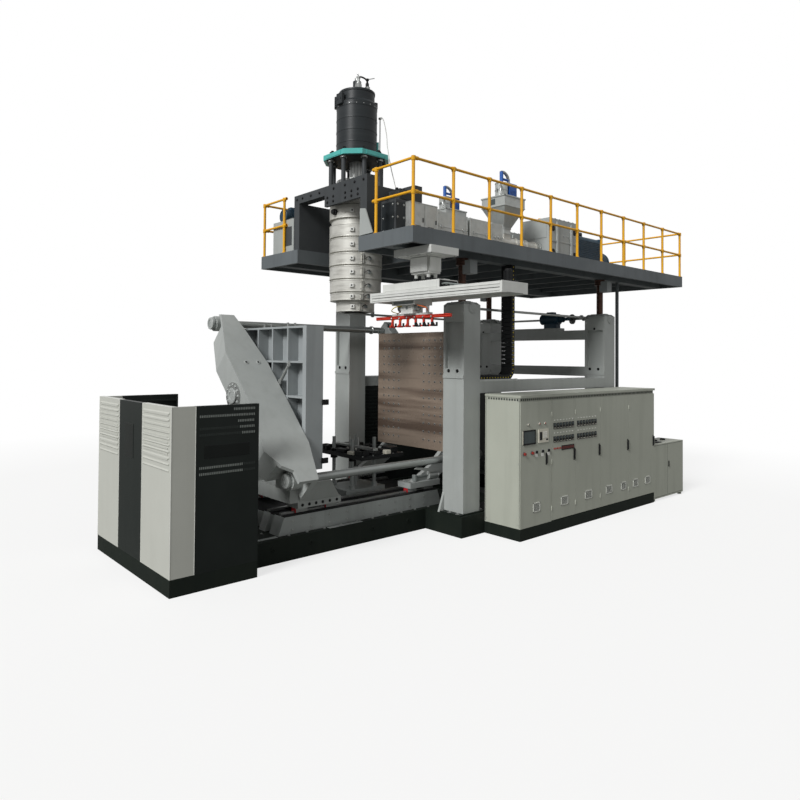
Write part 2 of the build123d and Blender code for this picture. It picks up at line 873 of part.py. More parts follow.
# Die core: the cone at the nozzle on its long adjusting rod
core_bottom = head_bottom - core_travel
core_shoulder_z = mandrel_foot_z - core_travel - 5
with BuildPart() as die_core:
    with BuildSketch(Plane.XZ):
        with BuildLine():
            Polyline(
                (0, core_bottom),
                (core_radius, core_bottom),
                (core_radius - 50, core_shoulder_z - 20),
                (core_rod_radius, core_shoulder_z),
                (core_rod_radius, stub_top + core_rod_end),
                (0, stub_top + core_rod_end),
                close=True,
            )
        make_face()
    revolve(axis=Axis.Z)
die_core.part.label = "die_core"
export_step(die_core.part, "parts/die_core.step")

# Extruder barrels with their front manifold into the head
with BuildPart() as extruder_barrels:
    for y in (-extruder_y, extruder_y):
        rod((barrel_start, y, barrel_z), (barrel_end, y, barrel_z), barrel_radius)
        block(
            (hopper_x - throat_size / 2, hopper_x + throat_size / 2),
            (y - throat_size / 2, y + throat_size / 2),
            (barrel_z, throat_top - throat_flange),
        )
    block(
        manifold_x,
        (-extruder_y - barrel_radius - 20, extruder_y + barrel_radius + 20),
        (barrel_z - barrel_radius, barrel_z + barrel_radius),
    )
    for y in (-extruder_y, extruder_y):
        block(
            (manifold_x[1], barrel_start + 60),
            (y - barrel_radius - 20, y + barrel_radius + 20),
            (barrel_z - barrel_radius, barrel_z + barrel_radius),
        )
    rod((inlet_joint_x, 0, barrel_z), (manifold_x[0], 0, barrel_z), inlet_radius)
    for y in (-extruder_y, extruder_y):
        rod((barrel_start + 60, y, barrel_z), (barrel_end, y, barrel_z),
            screw_radius + screw_gap, Mode.SUBTRACT)
        block(
            (hopper_x - throat_bore / 2, hopper_x + throat_bore / 2),
            (y - throat_bore / 2, y + throat_bore / 2),
            (barrel_z, throat_top - throat_flange),
            Mode.SUBTRACT,
        )
        for x in barrel_bracket_x:
            block(
                (x - 40, x + 40),
                (y - 90, y + 90),
                (platform_top, barrel_z - barrel_radius + 12),
            )
        for x in (hopper_x - feed_housing_length / 2, hopper_x + feed_housing_length / 2):
            block(
                (x, x + plate_seam),
                (y - barrel_radius - 1, y + barrel_radius + 1),
                (barrel_z - barrel_radius - 1, barrel_z + barrel_radius + 1),
                Mode.SUBTRACT,
            )
        block(
            (hopper_x - throat_size / 2, hopper_x + throat_size / 2),
            (y - throat_size / 2, y + throat_size / 2),
            (barrel_z + barrel_radius, barrel_z + barrel_radius + plate_seam),
            Mode.SUBTRACT,
        )
extruder_barrels.part.label = "extruder_barrels"
export_step(extruder_barrels.part, "parts/extruder_barrels.step")


def extruder_screw(y):
    """Screw root with a pointed tip and a drive shank that reaches into the gearbox."""
    tip_x = barrel_start + 90
    with BuildSketch(Plane(origin=(0, y, barrel_z), x_dir=(1, 0, 0), z_dir=(0, -1, 0))) as half:
        with BuildLine():
            Polyline(
                (tip_x, 0),
                (tip_x + 140, screw_radius),
                (barrel_end + 20, screw_radius),
                (barrel_end + 20, screw_radius - 12),
                (gearbox_x[0] + 200, screw_radius - 12),
                (gearbox_x[0] + 200, 0),
                close=True,
            )
        make_face()
    revolve(half.sketch, axis=Axis((0, y, barrel_z), (1, 0, 0)))


with BuildPart() as extruder_screw_near:
    extruder_screw(-extruder_y)
extruder_screw_near.part.label = "extruder_screw_near"
export_step(extruder_screw_near.part, "parts/extruder_screw_near.step")

with BuildPart() as extruder_screw_far:
    extruder_screw(extruder_y)
extruder_screw_far.part.label = "extruder_screw_far"
export_step(extruder_screw_far.part, "parts/extruder_screw_far.step")

# Heater covers round the barrels, cooling fans below them and the junction boxes
cover_z = (barrel_z - cover_half_height, barrel_z + cover_half_height)
with BuildPart() as barrel_covers:
    for y in (-extruder_y, extruder_y):
        for run in cover_runs:
            block(run, (y - cover_half_width, y + cover_half_width), cover_z)
            rod((run[0], y, barrel_z), (run[1], y, barrel_z), barrel_radius + 0.5, Mode.SUBTRACT)
            block(
                (run[0] + cover_wall, run[1] - cover_wall),
                (y - cover_half_width + cover_wall, y + cover_half_width - cover_wall),
                (platform_top - 20, cover_z[1] - cover_wall),
                Mode.SUBTRACT,
            )
            for edge in (run[0] + 40, run[1] - 40):
                for side in (-1, 1):
                    foot_y = y + side * (cover_half_width - 20)
                    block(
                        (edge - 20, edge + 20),
                        (foot_y - 20, foot_y + 20),
                        (platform_top, cover_z[1] - cover_wall),
                    )
    for x_range in junction_boxes:
        block(x_range, junction_y, (platform_top, platform_top + junction_height))
barrel_covers.part.label = "barrel_covers"
export_step(barrel_covers.part, "parts/barrel_covers.step")

# Hoppers: funnels of seamed plates on the feed throats, with round material receivers on top
seam_line = [
    (throat_bore / 2, throat_top - throat_flange),
    (throat_bore / 2, throat_top - 1),
    (hopper_length / 2 - hopper_wall, hopper_top - hopper_rim),
    (hopper_length / 2 - hopper_wall, hopper_top - hopper_wall),
]
with BuildPart() as hoppers:
    for y in (-extruder_y, extruder_y):
        block(
            (hopper_x - throat_size / 2, hopper_x + throat_size / 2),
            (y - throat_size / 2, y + throat_size / 2),
            (throat_top - throat_flange, throat_top),
        )
        with BuildSketch(Plane.XY.offset(throat_top)):
            with Locations((hopper_x, y)):
                Rectangle(throat_size, throat_size)
        with BuildSketch(Plane.XY.offset(hopper_top - hopper_rim)):
            with Locations((hopper_x, y)):
                Rectangle(hopper_length, hopper_depth)
        loft()
        block(
            (hopper_x - hopper_length / 2, hopper_x + hopper_length / 2),
            (y - hopper_depth / 2, y + hopper_depth / 2),
            (hopper_top - hopper_rim, hopper_top),
        )
        with BuildSketch(Plane.XY.offset(throat_top - 1)):
            with Locations((hopper_x, y)):
                Rectangle(throat_bore, throat_bore)
        with BuildSketch(Plane.XY.offset(hopper_top - hopper_rim)):
            with Locations((hopper_x, y)):
                Rectangle(hopper_length - 2 * hopper_wall, hopper_depth - 2 * hopper_wall)
        loft(mode=Mode.SUBTRACT)
        block(
            (hopper_x - hopper_length / 2 + hopper_wall, hopper_x + hopper_length / 2 - hopper_wall),
            (y - hopper_depth / 2 + hopper_wall, y + hopper_depth / 2 - hopper_wall),
            (hopper_top - hopper_rim, hopper_top - hopper_wall),
            Mode.SUBTRACT,
        )
        block(
            (hopper_x - throat_bore / 2, hopper_x + throat_bore / 2),
            (y - throat_bore / 2, y + throat_bore / 2),
            (throat_top - throat_flange, throat_top),
            Mode.SUBTRACT,
        )
        rod((hopper_x - 60, y, hopper_top), (hopper_x - 60, y, hopper_top + receiver_height),
            receiver_radius)
        for z in (throat_top, hopper_top - hopper_rim, hopper_top - hopper_wall):
            block(
                (hopper_x - hopper_length / 2, hopper_x + hopper_length / 2),
                (y - hopper_depth / 2, y + hopper_depth / 2),
                (z - plate_seam, z),
                Mode.SUBTRACT,
            )
        for side in (-1, 1):
            outline = [(hopper_x + side * reach, z) for reach, z in seam_line]
            outline += [(hopper_x + side * (reach + plate_seam), z) for reach, z in reversed(seam_line)]
            with BuildSketch(Plane(origin=(0, y, 0), x_dir=(1, 0, 0), z_dir=(0, -1, 0))):
                with BuildLine():
                    Polyline(*outline, close=True)
                make_face()
            extrude(amount=hopper_depth / 2, both=True, mode=Mode.SUBTRACT)
hoppers.part.label = "hoppers"
export_step(hoppers.part, "parts/hoppers.step")

# Vacuum loaders beside the receivers, with their suction pipes
loader_x = hopper_x - 60 + receiver_radius + loader_size[0] / 2
with BuildPart() as loaders:
    for y in (-extruder_y, extruder_y):
        block(
            (loader_x - loader_size[0] / 2, loader_x + loader_size[0] / 2),
            (y - loader_size[1] / 2, y + loader_size[1] / 2),
            (hopper_top, hopper_top + loader_size[2]),
        )
        pipe_x = hopper_x - 60
        pipe_z = hopper_top + receiver_height
        rod((pipe_x, y, pipe_z), (pipe_x, y, pipe_z + 230), 36)
        rod((pipe_x + 30, y, pipe_z + 90), (loader_x, y, pipe_z + 90), 24)
        rod((loader_x, y, hopper_top + loader_size[2]), (loader_x, y, pipe_z + 114), 24)
loaders.part.label = "loaders"
export_step(loaders.part, "parts/loaders.step")

# Extruder gearboxes: ribbed boxes on the deck
with BuildPart() as gearboxes:
    for y in (-extruder_y, extruder_y):
        y_range = (y - gearbox_half_width, y + gearbox_half_width)
        block(gearbox_x, y_range, (platform_top, gearbox_top))
        for x in (gearbox_x[0] + 250, gearbox_x[1] - 310):
            for side in both_sides((gearbox_half_width, gearbox_half_width + 30)):
                block(
                    (x, x + 60),
                    (y + side[0], y + side[1]),
                    (platform_top, gearbox_top - 60),
                )
        rod((gearbox_x[0], y, barrel_z), (gearbox_x[0] + 220, y, barrel_z),
            screw_radius - 12 + screw_gap, Mode.SUBTRACT)
        rod((barrel_end, y, barrel_z), (gearbox_x[0], y, barrel_z), barrel_radius + 60)
        rod((barrel_end, y, barrel_z), (gearbox_x[0], y, barrel_z),
            screw_radius + 8, Mode.SUBTRACT)
gearboxes.part.label = "gearboxes"
export_step(gearboxes.part, "parts/gearboxes.step")

# Drive motors with rear fans, and the pump motor of the hydraulic block
motor_centre_z = platform_top + 90 + main_motor_half
tank_top = platform_top + tank_height
pump_motor_z = tank_top + 20 + pump_motor_radius
pump_motor_y = tank_y[1] - pump_motor_radius
with BuildPart() as drive_motors:
    for y in (-extruder_y, extruder_y):
        half = main_motor_half
        with BuildSketch(Plane.YZ.offset(main_motor_x[0])):
            with Locations((y, motor_centre_z)):
                RectangleRounded(2 * half, 2 * half, 90)
        extrude(amount=main_motor_x[1] - main_motor_x[0])
        rod((gearbox_x[1], y, motor_centre_z), (main_motor_x[0], y, motor_centre_z), 180)
        block(
            (main_motor_x[0] + 60, main_motor_x[0] + 420),
            (y - 160, y + 160),
            (motor_centre_z + half, motor_centre_z + half + 110),
        )
        for x in (main_motor_x[0] + 100, main_motor_x[1] - 220):
            block((x, x + 120), (y - 260, y + 260), (platform_top, motor_centre_z - half + 5))
        fan_z = platform_top + 40 + fan_radius
        rod((main_motor_x[1], y, fan_z), (main_motor_x[1] + fan_length, y, fan_z), fan_radius)
        block(
            (main_motor_x[1] + 80, main_motor_x[1] + fan_length - 80),
            (y - 180, y + 180),
            (platform_top, fan_z - fan_radius + 60),
        )
    pump_start = tank_x[0] + 130
    rod((pump_start, pump_motor_y, pump_motor_z),
        (pump_start + pump_motor_length, pump_motor_y, pump_motor_z), pump_motor_radius)
    block(
        (pump_start + 60, pump_start + pump_motor_length - 60),
        (pump_motor_y - 90, pump_motor_y + 90),
        (tank_top, pump_motor_z - pump_motor_radius + 30),
    )
drive_motors.part.label = "drive_motors"
export_step(drive_motors.part, "parts/drive_motors.step")

# Hydraulic block: tank, manifold and accumulator bottles by the head
with BuildPart() as hydraulic_block:
    block(tank_x, tank_y, (platform_top, tank_top))
    block(
        (tank_x[0] + 560, tank_x[1]),
        (tank_y[0] + 60, tank_y[0] + 380),
        (tank_top, tank_top + 190),
    )
    near_y = (-notch_half_width - stand_width - 330, -notch_half_width - stand_width)
    block((-300, 420), near_y, (platform_top, platform_top + 560))
    block((-180, 200), (near_y[0] + 50, near_y[1] - 40), (platform_top + 560, platform_top + 730))
hydraulic_block.part.label = "hydraulic_block"
export_step(hydraulic_block.part, "parts/hydraulic_block.step")

# Robot mount: slab under the deck with its guide pillar
slab_bottom = platform_bottom - robot_slab[2]
pillar_bottom = slab_bottom - robot_pillar[2]
rod_places = [
    (side_x * robot_rod_spread[0] / 2, robot_y + side_y * robot_rod_spread[1] / 2)
    for side_x in (-1, 1)
    for side_y in (-1, 1)
]
with BuildPart() as robot_mount:
    half_x = robot_slab[0] / 2
    half_y = robot_slab[1] / 2
    pillar_x = robot_pillar[0] / 2
    pillar_y = robot_pillar[1] / 2
    block((-half_x, half_x), (robot_y - half_y, robot_y + half_y), (slab_bottom, platform_bottom))
    block((-pillar_x, pillar_x), (robot_y - pillar_y, robot_y + pillar_y),
          (pillar_bottom, slab_bottom))
    for x, y in rod_places:
        rod((x, y, pillar_bottom), (x, y, platform_bottom - 20),
            robot_rod_radius + running_gap, Mode.SUBTRACT)
robot_mount.part.label = "robot_mount"
export_step(robot_mount.part, "parts/robot_mount.step")

# Robot beam: guide rods, upper box and the long cross beam
with BuildPart() as robot_beam:
    for x, y in rod_places:
        rod((x, y, robot_box_z[1] - 10), (x, y, platform_bottom - 40), robot_rod_radius)
    block((-200, 200), robot_box_y, robot_box_z)
    block((-robot_beam_half, robot_beam_half), robot_beam_y,
          (robot_beam_z[0] + channel_depth, robot_beam_z[1]))
    for side in (-1, 1):
        lip = sorted((side * robot_beam_half, side * (robot_beam_half - channel_lip)))
        block(lip, robot_beam_y, (robot_beam_z[0], robot_beam_z[0] + channel_depth))
robot_beam.part.label = "robot_beam"
export_step(robot_beam.part, "parts/robot_beam.step")

# Robot carriage: slides in the channel under the beam and carries the jaw slide
carriage_floor = robot_beam_z[0] - carriage_height
jaw_bar_z = (arm_z + 30, arm_z + 60)
with BuildPart() as robot_carriage:
    carriage_span = (carriage_y - carriage_half_length, carriage_y + carriage_half_length)
    shoe_half = robot_beam_half - channel_lip - slide_gap
    block((-shoe_half, shoe_half), carriage_span,
          (carriage_floor, robot_beam_z[0] + channel_depth - slide_gap))
    rod((-60, carriage_span[0] + 60, carriage_floor - 40),
        (-60, carriage_span[1] - 60, carriage_floor - 40), 45)
    block((-110, 110), (carriage_y - 130, carriage_y + 130), (jaw_bar_z[1] - 10, carriage_floor))
    block((-30, 30), (carriage_y - 420, carriage_y + 420), jaw_bar_z)
robot_carriage.part.label = "robot_carriage"
export_step(robot_carriage.part, "parts/robot_carriage.step")


def gripper_jaw(side):
    """One jaw: a long pad bar under the slide with three claws hanging from it."""
    start_y = carriage_y + side * 25
    end_y = start_y + side * jaw_length
    rod((0, start_y, arm_z - 5), (0, end_y, arm_z - 5), jaw_radius)
    block((-28, 28), sorted((start_y, start_y + side * 300)), (arm_z - 5, jaw_bar_z[0] - slide_gap))
    for share in (0.08, 0.3, 0.52):
        claw_y = start_y + side * jaw_length * share
        block((-16, 16), (claw_y - 14, claw_y + 14), (arm_z - 130, arm_z - 5))
        block((-55, 55), (claw_y - 14, claw_y + 14), (arm_z - 150, arm_z - 125))


with BuildPart() as gripper_jaw_near:
    gripper_jaw(-1)
gripper_jaw_near.part.label = "gripper_jaw_near"
export_step(gripper_jaw_near.part, "parts/gripper_jaw_near.step")

with BuildPart() as gripper_jaw_far:
    gripper_jaw(1)
gripper_jaw_far.part.label = "gripper_jaw_far"
export_step(gripper_jaw_far.part, "parts/gripper_jaw_far.step")

# Cable chain: lies on the near portal beam and climbs to the platform
chain_y = (-1640, -1405)
chain_x = 2190
chain_thickness = 100
chain_bend = 110
with BuildPart() as cable_chain:
    chain_floor = portal_beam_top + 5
    chain_left = column_x + column_depth + 5
    with BuildSketch(Plane.XZ.offset(-chain_y[1])):
        with BuildLine():
            Polyline(
                (chain_left, chain_floor),
                (chain_x - chain_bend, chain_floor),
            )
            outer_radius = chain_bend + chain_thickness
            RadiusArc(
                (chain_x - chain_bend, chain_floor),
                (chain_x + chain_thickness, chain_floor + outer_radius),
                outer_radius,
            )
            Polyline(
                (chain_x + chain_thickness, chain_floor + outer_radius),
                (chain_x + chain_thickness, platform_bottom),
                (chain_x, platform_bottom),
                (chain_x, chain_floor + outer_radius),
            )
            RadiusArc(
                (chain_x, chain_floor + outer_radius),
                (chain_x - chain_bend, chain_floor + chain_thickness),
                -chain_bend,
            )
            Polyline(
                (chain_x - chain_bend, chain_floor + chain_thickness),
                (chain_left, chain_floor + chain_thickness),
                (chain_left, chain_floor),
            )
        make_face()
    extrude(amount=chain_y[1] - chain_y[0])
cable_chain.part.label = "cable_chain"
export_step(cable_chain.part, "parts/cable_chain.step")

# Yoke: a diagonal box beam behind the left platen, on two railed feet
diagonal = Vector(0, -tie_bar_y, -tie_bar_dz).normalized()
yoke_normal = Vector(0, -tie_bar_dz, tie_bar_y).normalized()
yoke_plane = Plane(
    origin=Vector(0, 0, clamp_axis_z) + yoke_normal * yoke_far_offset,
    x_dir=(1, 0, 0),
    z_dir=yoke_normal,
)
along_sign = yoke_plane.y_dir.dot(diagonal)
yoke_outline = [
    (-2070, -2050),
    (-2070, -1490),
    (-2305, -640),
    (-2300, 430),
    (-2430, 1260),
    (-2270, 1520),
    (-2120, 1620),
    (-2120, yoke_end),
    (-1810, yoke_end),
    (-1665, 1180),
    (-1660, 340),
    (-1665, -400),
    (-1775, -1200),
    (-1835, -1490),
    (-1835, -2050),
]
tie_bar_lines = [(side * tie_bar_y, clamp_axis_z + side * tie_bar_dz) for side in (-1, 1)]


def guide_blocks(x_starts, line):
    """Grooved guide blocks that straddle a pair of rails, just clear of them."""
    half_block = guide_block_width / 2
    half_groove = rail_width / 2 + rail_side_gap
    groove_top = rail_top + rail_height + rail_side_gap
    for side in (-1, 1):
        for x in x_starts:
            x_range = (x, x + guide_block_length)
            block(x_range, (side * line - half_block, side * line + half_block),
                  (guide_block_bottom, slab_z[0]))
            block(x_range, (side * line - half_groove, side * line + half_groove),
                  (guide_block_bottom, groove_top), Mode.SUBTRACT)


with BuildPart() as yoke:
    with BuildSketch(yoke_plane):
        with BuildLine():
            Polyline(*[(x, along * along_sign) for x, along in yoke_outline], close=True)
        make_face()
    extrude(amount=yoke_near_offset - yoke_far_offset)
    # Pockets round the tie bars, which leave the near plate standing as a lug
    with BuildSketch(yoke_plane):
        with BuildLine():
            Polyline(
                (-2600, along_sign * -2300),
                (-2600, along_sign * yoke_pocket_upper),
                (yoke_pocket_x, along_sign * (yoke_pocket_upper - 120)),
                (yoke_pocket_x, along_sign * -2300),
                close=True,
            )
        make_face()
        with BuildLine():
            Polyline(
                (-2600, along_sign * 2300),
                (-2600, along_sign * (yoke_pocket_lower + 60)),
                (yoke_pocket_x, along_sign * yoke_pocket_lower),
                (yoke_pocket_x, along_sign * 2300),
                close=True,
            )
        make_face()
    extrude(amount=yoke_near_offset - yoke_far_offset - yoke_plate, mode=Mode.SUBTRACT)
    block((-3000, -1000), (-3000, 3000), (yoke_top_z, yoke_top_z + 1500), Mode.SUBTRACT)
    block((-3000, -1000), (yoke_top_y, 3000), (2000, 5000), Mode.SUBTRACT)
    # Cross beam and uprights below the diagonal beam
    block(cross_beam_x, (-slab_y[1], slab_y[1]), cross_beam_z)
    for upright_y, upright_top in ((-slab_y[0] - upright_width, 1600), (0, 2200), (slab_y[0], 2750)):
        block(upright_x, (upright_y, upright_y + upright_width), (cross_beam_z[1], upright_top))
    for side in (-1, 1):
        block(slab_x, sorted((side * slab_y[0], side * slab_y[1])), slab_z)
    guide_blocks((slab_x[0] + 20, slab_x[1] - 20 - guide_block_length), rail_lines[0])
    # Near pedestal, leaning out to the diagonal beam, and the plain far one
    for side in (-1, 1):
        with BuildSketch(Plane.XY.offset(slab_z[1])):
            with Locations(((slab_x[0] + slab_x[1]) / 2, side * (slab_y[0] + slab_y[1]) / 2)):
                Rectangle(slab_x[1] - slab_x[0] - 50, slab_y[1] - slab_y[0] - 10)
        with BuildSketch(Plane.XY.offset(pedestal_top_z)):
            with Locations((
                (pedestal_top_x[0] + pedestal_top_x[1]) / 2,
                side * (pedestal_top_y[0] + pedestal_top_y[1]) / 2,
            )):
                Rectangle(
                    pedestal_top_x[1] - pedestal_top_x[0],
                    pedestal_top_y[1] - pedestal_top_y[0],
                )
        loft()
    block((-2000, upright_x[1]), (-pedestal_top_y[1], -pedestal_top_y[0]),
          (pedestal_top_z - 60, 1450))
    block((-2000, upright_x[1]), (-pedestal_top_y[1] - 100, -pedestal_top_y[1] + 20),
          (pedestal_top_z + 200, 1450))
    # Sleeves round the tie bars, and the bore for the clamp cylinder
    for bar in tie_bar_lines:
        rod((tie_sleeve_x[0], *bar), (tie_sleeve_x[1], *bar), tie_sleeve_radius)
        rod((-2500, *bar), (tie_sleeve_x[0], *bar), tie_sleeve_radius + 15, Mode.SUBTRACT)
        rod((-2500, *bar), (-1500, *bar), tie_bar_radius + seat_gap, Mode.SUBTRACT)
    rod((-2500, 0, clamp_axis_z), (-1500, 0, clamp_axis_z), clamp_cylinder_radius + seat_gap,
        Mode.SUBTRACT)
yoke.part.label = "yoke"
export_step(yoke.part, "parts/yoke.step")

# Tie bars with their nuts, from the yoke to the back arms of the right platen
arm_back_x = platen_face_x + platen_depth + back_arm_thickness
with BuildPart() as tie_bars:
    for bar in tie_bar_lines:
        rod((tie_bar_start, *bar), (arm_back_x + 2 * tie_bar_nut_length, *bar), tie_bar_radius)
        rod((tie_bar_start + 10, *bar), (tie_sleeve_x[0], *bar), tie_bar_nut_radius)
        rod((arm_back_x, *bar), (arm_back_x + tie_bar_nut_length, *bar), tie_bar_nut_radius)
tie_bars.part.label = "tie_bars"
export_step(tie_bars.part, "parts/tie_bars.step")

# Clamp cylinder barrel in the yoke
barrel_x = (-2320, -1652)
barrel_inner_x = (barrel_x[0] + clamp_rear_cap, barrel_x[1] - clamp_front_cap)
axis_point = (0, clamp_axis_z)
with BuildPart() as clamp_cylinder:
    rod((barrel_x[0], *axis_point), (barrel_x[1], *axis_point), clamp_cylinder_radius)
    rod((clamp_hub_x, *axis_point), (barrel_x[0], *axis_point), clamp_hub_radius)
    rod((barrel_inner_x[0], *axis_point), (barrel_inner_x[1], *axis_point), clamp_bore,
        Mode.SUBTRACT)
    rod((barrel_inner_x[0], *axis_point), (barrel_x[1], *axis_point),
        clamp_rod_radius + running_gap, Mode.SUBTRACT)
clamp_cylinder.part.label = "clamp_cylinder"
export_step(clamp_cylinder.part, "parts/clamp_cylinder.step")


def platen(direction):
    """Faced plate with an egg-crate of ribs behind it; direction points to the mould."""
    face = -direction * platen_face_x
    front = sorted((face, face - direction * platen_front_thickness))
    back = face - direction * platen_depth
    ribs = sorted((face - direction * platen_front_thickness, back))
    half = platen_half_width
    block(front, (-half, half), platen_z)
    for y_range in both_sides((half - platen_rib - 60, half)):
        block(ribs, y_range, platen_z)
    for y in (-430, 0, 430):
        block(ribs, (y - platen_rib / 2, y + platen_rib / 2), platen_z)
    rows = 4
    pitch = (platen_z[1] - platen_z[0] - platen_rib) / rows
    for row in range(rows + 1):
        z = platen_z[0] + row * pitch
        block(ribs, (-half, half), (z, z + platen_rib))
    hole_places = [
        Plane(
            origin=(face, side * column_y, clamp_axis_z + (row - mould_hole_rows // 2) * mould_hole_pitch),
            z_dir=(-direction, 0, 0),
        ).location
        for side in (-1, 1)
        for column_y in mould_hole_columns
        for row in range(mould_hole_rows)
    ]
    with Locations(*hole_places):
        Cylinder(
            mould_hole_radius,
            mould_hole_depth,
            align=(Align.CENTER, Align.CENTER, Align.MIN),
            mode=Mode.SUBTRACT,
        )


# Left platen, driven by the clamp cylinder, on the inner rails
left_foot_x = (-1580, -1010)
left_back_x = -platen_face_x - platen_depth
rod_flange_x = (left_back_x, left_back_x + rod_flange_thickness)
with BuildPart() as left_platen:
    platen(1)
    guide_blocks((left_foot_x[0] + 15, left_foot_x[1] - 15 - guide_block_length), inner_rail_y)
    for side in (-1, 1):
        block(left_foot_x, (side * inner_rail_y - 80, side * inner_rail_y + 80), slab_z)
        block((left_foot_x[0], -platen_face_x - 5),
              (side * inner_rail_y - 60, side * inner_rail_y + 60),
              (slab_z[1], platen_z[0]))
        with BuildSketch(Plane.XZ.offset(-side * inner_rail_y - 20)):
            with BuildLine():
                Polyline(
                    (-platen_face_x - 5, slab_z[1]),
                    (left_foot_x[1] - 30, slab_z[1]),
                    (-platen_face_x - 5, platen_z[0] - 60),
                    close=True,
                )
            make_face()
        extrude(amount=40)
    block((rod_flange_x[1], rod_flange_x[1] + 120), (-220, 220),
          (clamp_axis_z - 220, clamp_axis_z + 220))
    rod((rod_flange_x[0], *axis_point), (rod_flange_x[1], *axis_point),
        rod_flange_radius + seat_gap, Mode.SUBTRACT)
left_platen.part.label = "left_platen"
export_step(left_platen.part, "parts/left_platen.step")

# Clamp rod with its piston, drawn back, and the flange that seats in the left platen
piston_x = (barrel_inner_x[0] + 2, barrel_inner_x[0] + 2 + clamp_piston)
with BuildPart() as clamp_rod:
    rod((piston_x[0], *axis_point), (piston_x[1], *axis_point), clamp_bore - running_gap)
    rod((piston_x[1], *axis_point), (rod_flange_x[0], *axis_point), clamp_rod_radius)
    rod((rod_flange_x[0], *axis_point), (rod_flange_x[1], *axis_point), rod_flange_radius)
clamp_rod.part.label = "clamp_rod"
export_step(clamp_rod.part, "parts/clamp_rod.step")

# Right platen with its diagonal back arms for the tie bars, on the outer rails
right_foot_x = (510, 1210)
right_back_x = platen_face_x + platen_depth
with BuildPart() as right_platen:
    platen(-1)
    guide_blocks((right_foot_x[0] + 15, right_foot_x[0] + 400), rail_lines[0])
    for side in (-1, 1):
        block(right_foot_x, sorted((side * slab_y[0], side * slab_y[1])), slab_z)
        with BuildSketch(Plane.XZ.offset(-side * rail_lines[0] - 40)):
            with BuildLine():
                Polyline(
                    (right_foot_x[0] + 130, slab_z[1]),
                    (right_foot_x[1], slab_z[1]),
                    (right_back_x, 1000),
                    (right_back_x, platen_z[0] + 5),
                    (platen_face_x, platen_z[0] + 5),
                    (platen_face_x - 250, 1000),
                    close=True,
                )
            make_face()
        extrude(amount=80)
    back_plane = Plane(origin=(right_back_x, 0, clamp_axis_z), x_dir=diagonal, z_dir=(1, 0, 0))
    with BuildSketch(back_plane):
        Rectangle(2 * hypot(tie_bar_y, tie_bar_dz) + 200, back_arm_width)
    extrude(amount=back_arm_thickness)
    for bar in tie_bar_lines:
        rod((platen_face_x, *bar), (arm_back_x, *bar), tie_bar_radius + seat_gap, Mode.SUBTRACT)
right_platen.part.label = "right_platen"
export_step(right_platen.part, "parts/right_platen.step")

# Blow unit base with four guide posts and a lift cylinder
post_top = blow_table_z[1] + blow_lift + 40
blow_rod_bottom = blow_cylinder_top - blow_lift - 30
with BuildPart() as blow_unit_base:
    block(blow_base_x, blow_base_y, (base_height, rail_top + blow_base_height))
    for x in (-blow_post_x, blow_post_x):
        for y in (-blow_post_y, blow_post_y):
            rod((x, y, rail_top), (x, y, post_top), blow_post_radius)
            rod((x, y, rail_top), (x, y, rail_top + blow_base_height + 60), blow_post_radius + 25)
    rod((0, 0, rail_top), (0, 0, blow_cylinder_top), blow_cylinder_radius)
    rod((0, 0, blow_rod_bottom - blow_lift - 10), (0, 0, blow_cylinder_top),
        blow_rod_radius + running_gap, Mode.SUBTRACT)
blow_unit_base.part.label = "blow_unit_base"
export_step(blow_unit_base.part, "parts/blow_unit_base.step")

# Blow table: the lifting plate with its rod, bushes and spreader slides
with BuildPart() as blow_table:
    block(blow_table_x, blow_table_y, blow_table_z)
    for x in (-blow_post_x, blow_post_x):
        for y in (-blow_post_y, blow_post_y):
            rod((x, y, blow_table_z[0] - 60), (x, y, blow_table_z[1] + 40), blow_post_radius + 30)
            rod((x, y, blow_table_z[0] - 70), (x, y, blow_table_z[1] + 50),
                blow_post_radius + running_gap, Mode.SUBTRACT)
    rod((0, 0, blow_rod_bottom), (0, 0, blow_table_z[0]), blow_rod_radius)
    for side in (-1, 1):
        block((-60, 60), sorted((side * 330, side * 590)), (blow_table_z[1], blow_table_z[1] + 60))
        block((150, 470), sorted((side * 400, side * 560)), (blow_table_z[1], blow_table_z[1] + 70))
        block((-330, -150), sorted((side * 420, side * 580)), (blow_table_z[1], blow_table_z[1] + 80))
blow_table.part.label = "blow_table"
export_step(blow_table.part, "parts/blow_table.step")


def spreader(side):
    """Spreader arm: a slide block with a hollow upright pin."""
    slide_top = blow_table_z[1] + 60
    block((-50, 50), sorted((side * 60, side * 320)), (slide_top + 1, slide_top + 41))
    block((-50, 50), sorted((side * 320, side * 560)), (slide_top + 0.5, slide_top + 41))
    rod((0, side * 110, slide_top + 41), (0, side * 110, slide_top + 180), spreader_pin_radius)


with BuildPart() as spreader_near:
    spreader(-1)
spreader_near.part.label = "spreader_near"
export_step(spreader_near.part, "parts/spreader_near.step")

with BuildPart() as spreader_far:
    spreader(1)
spreader_far.part.label = "spreader_far"
export_step(spreader_far.part, "parts/spreader_far.step")

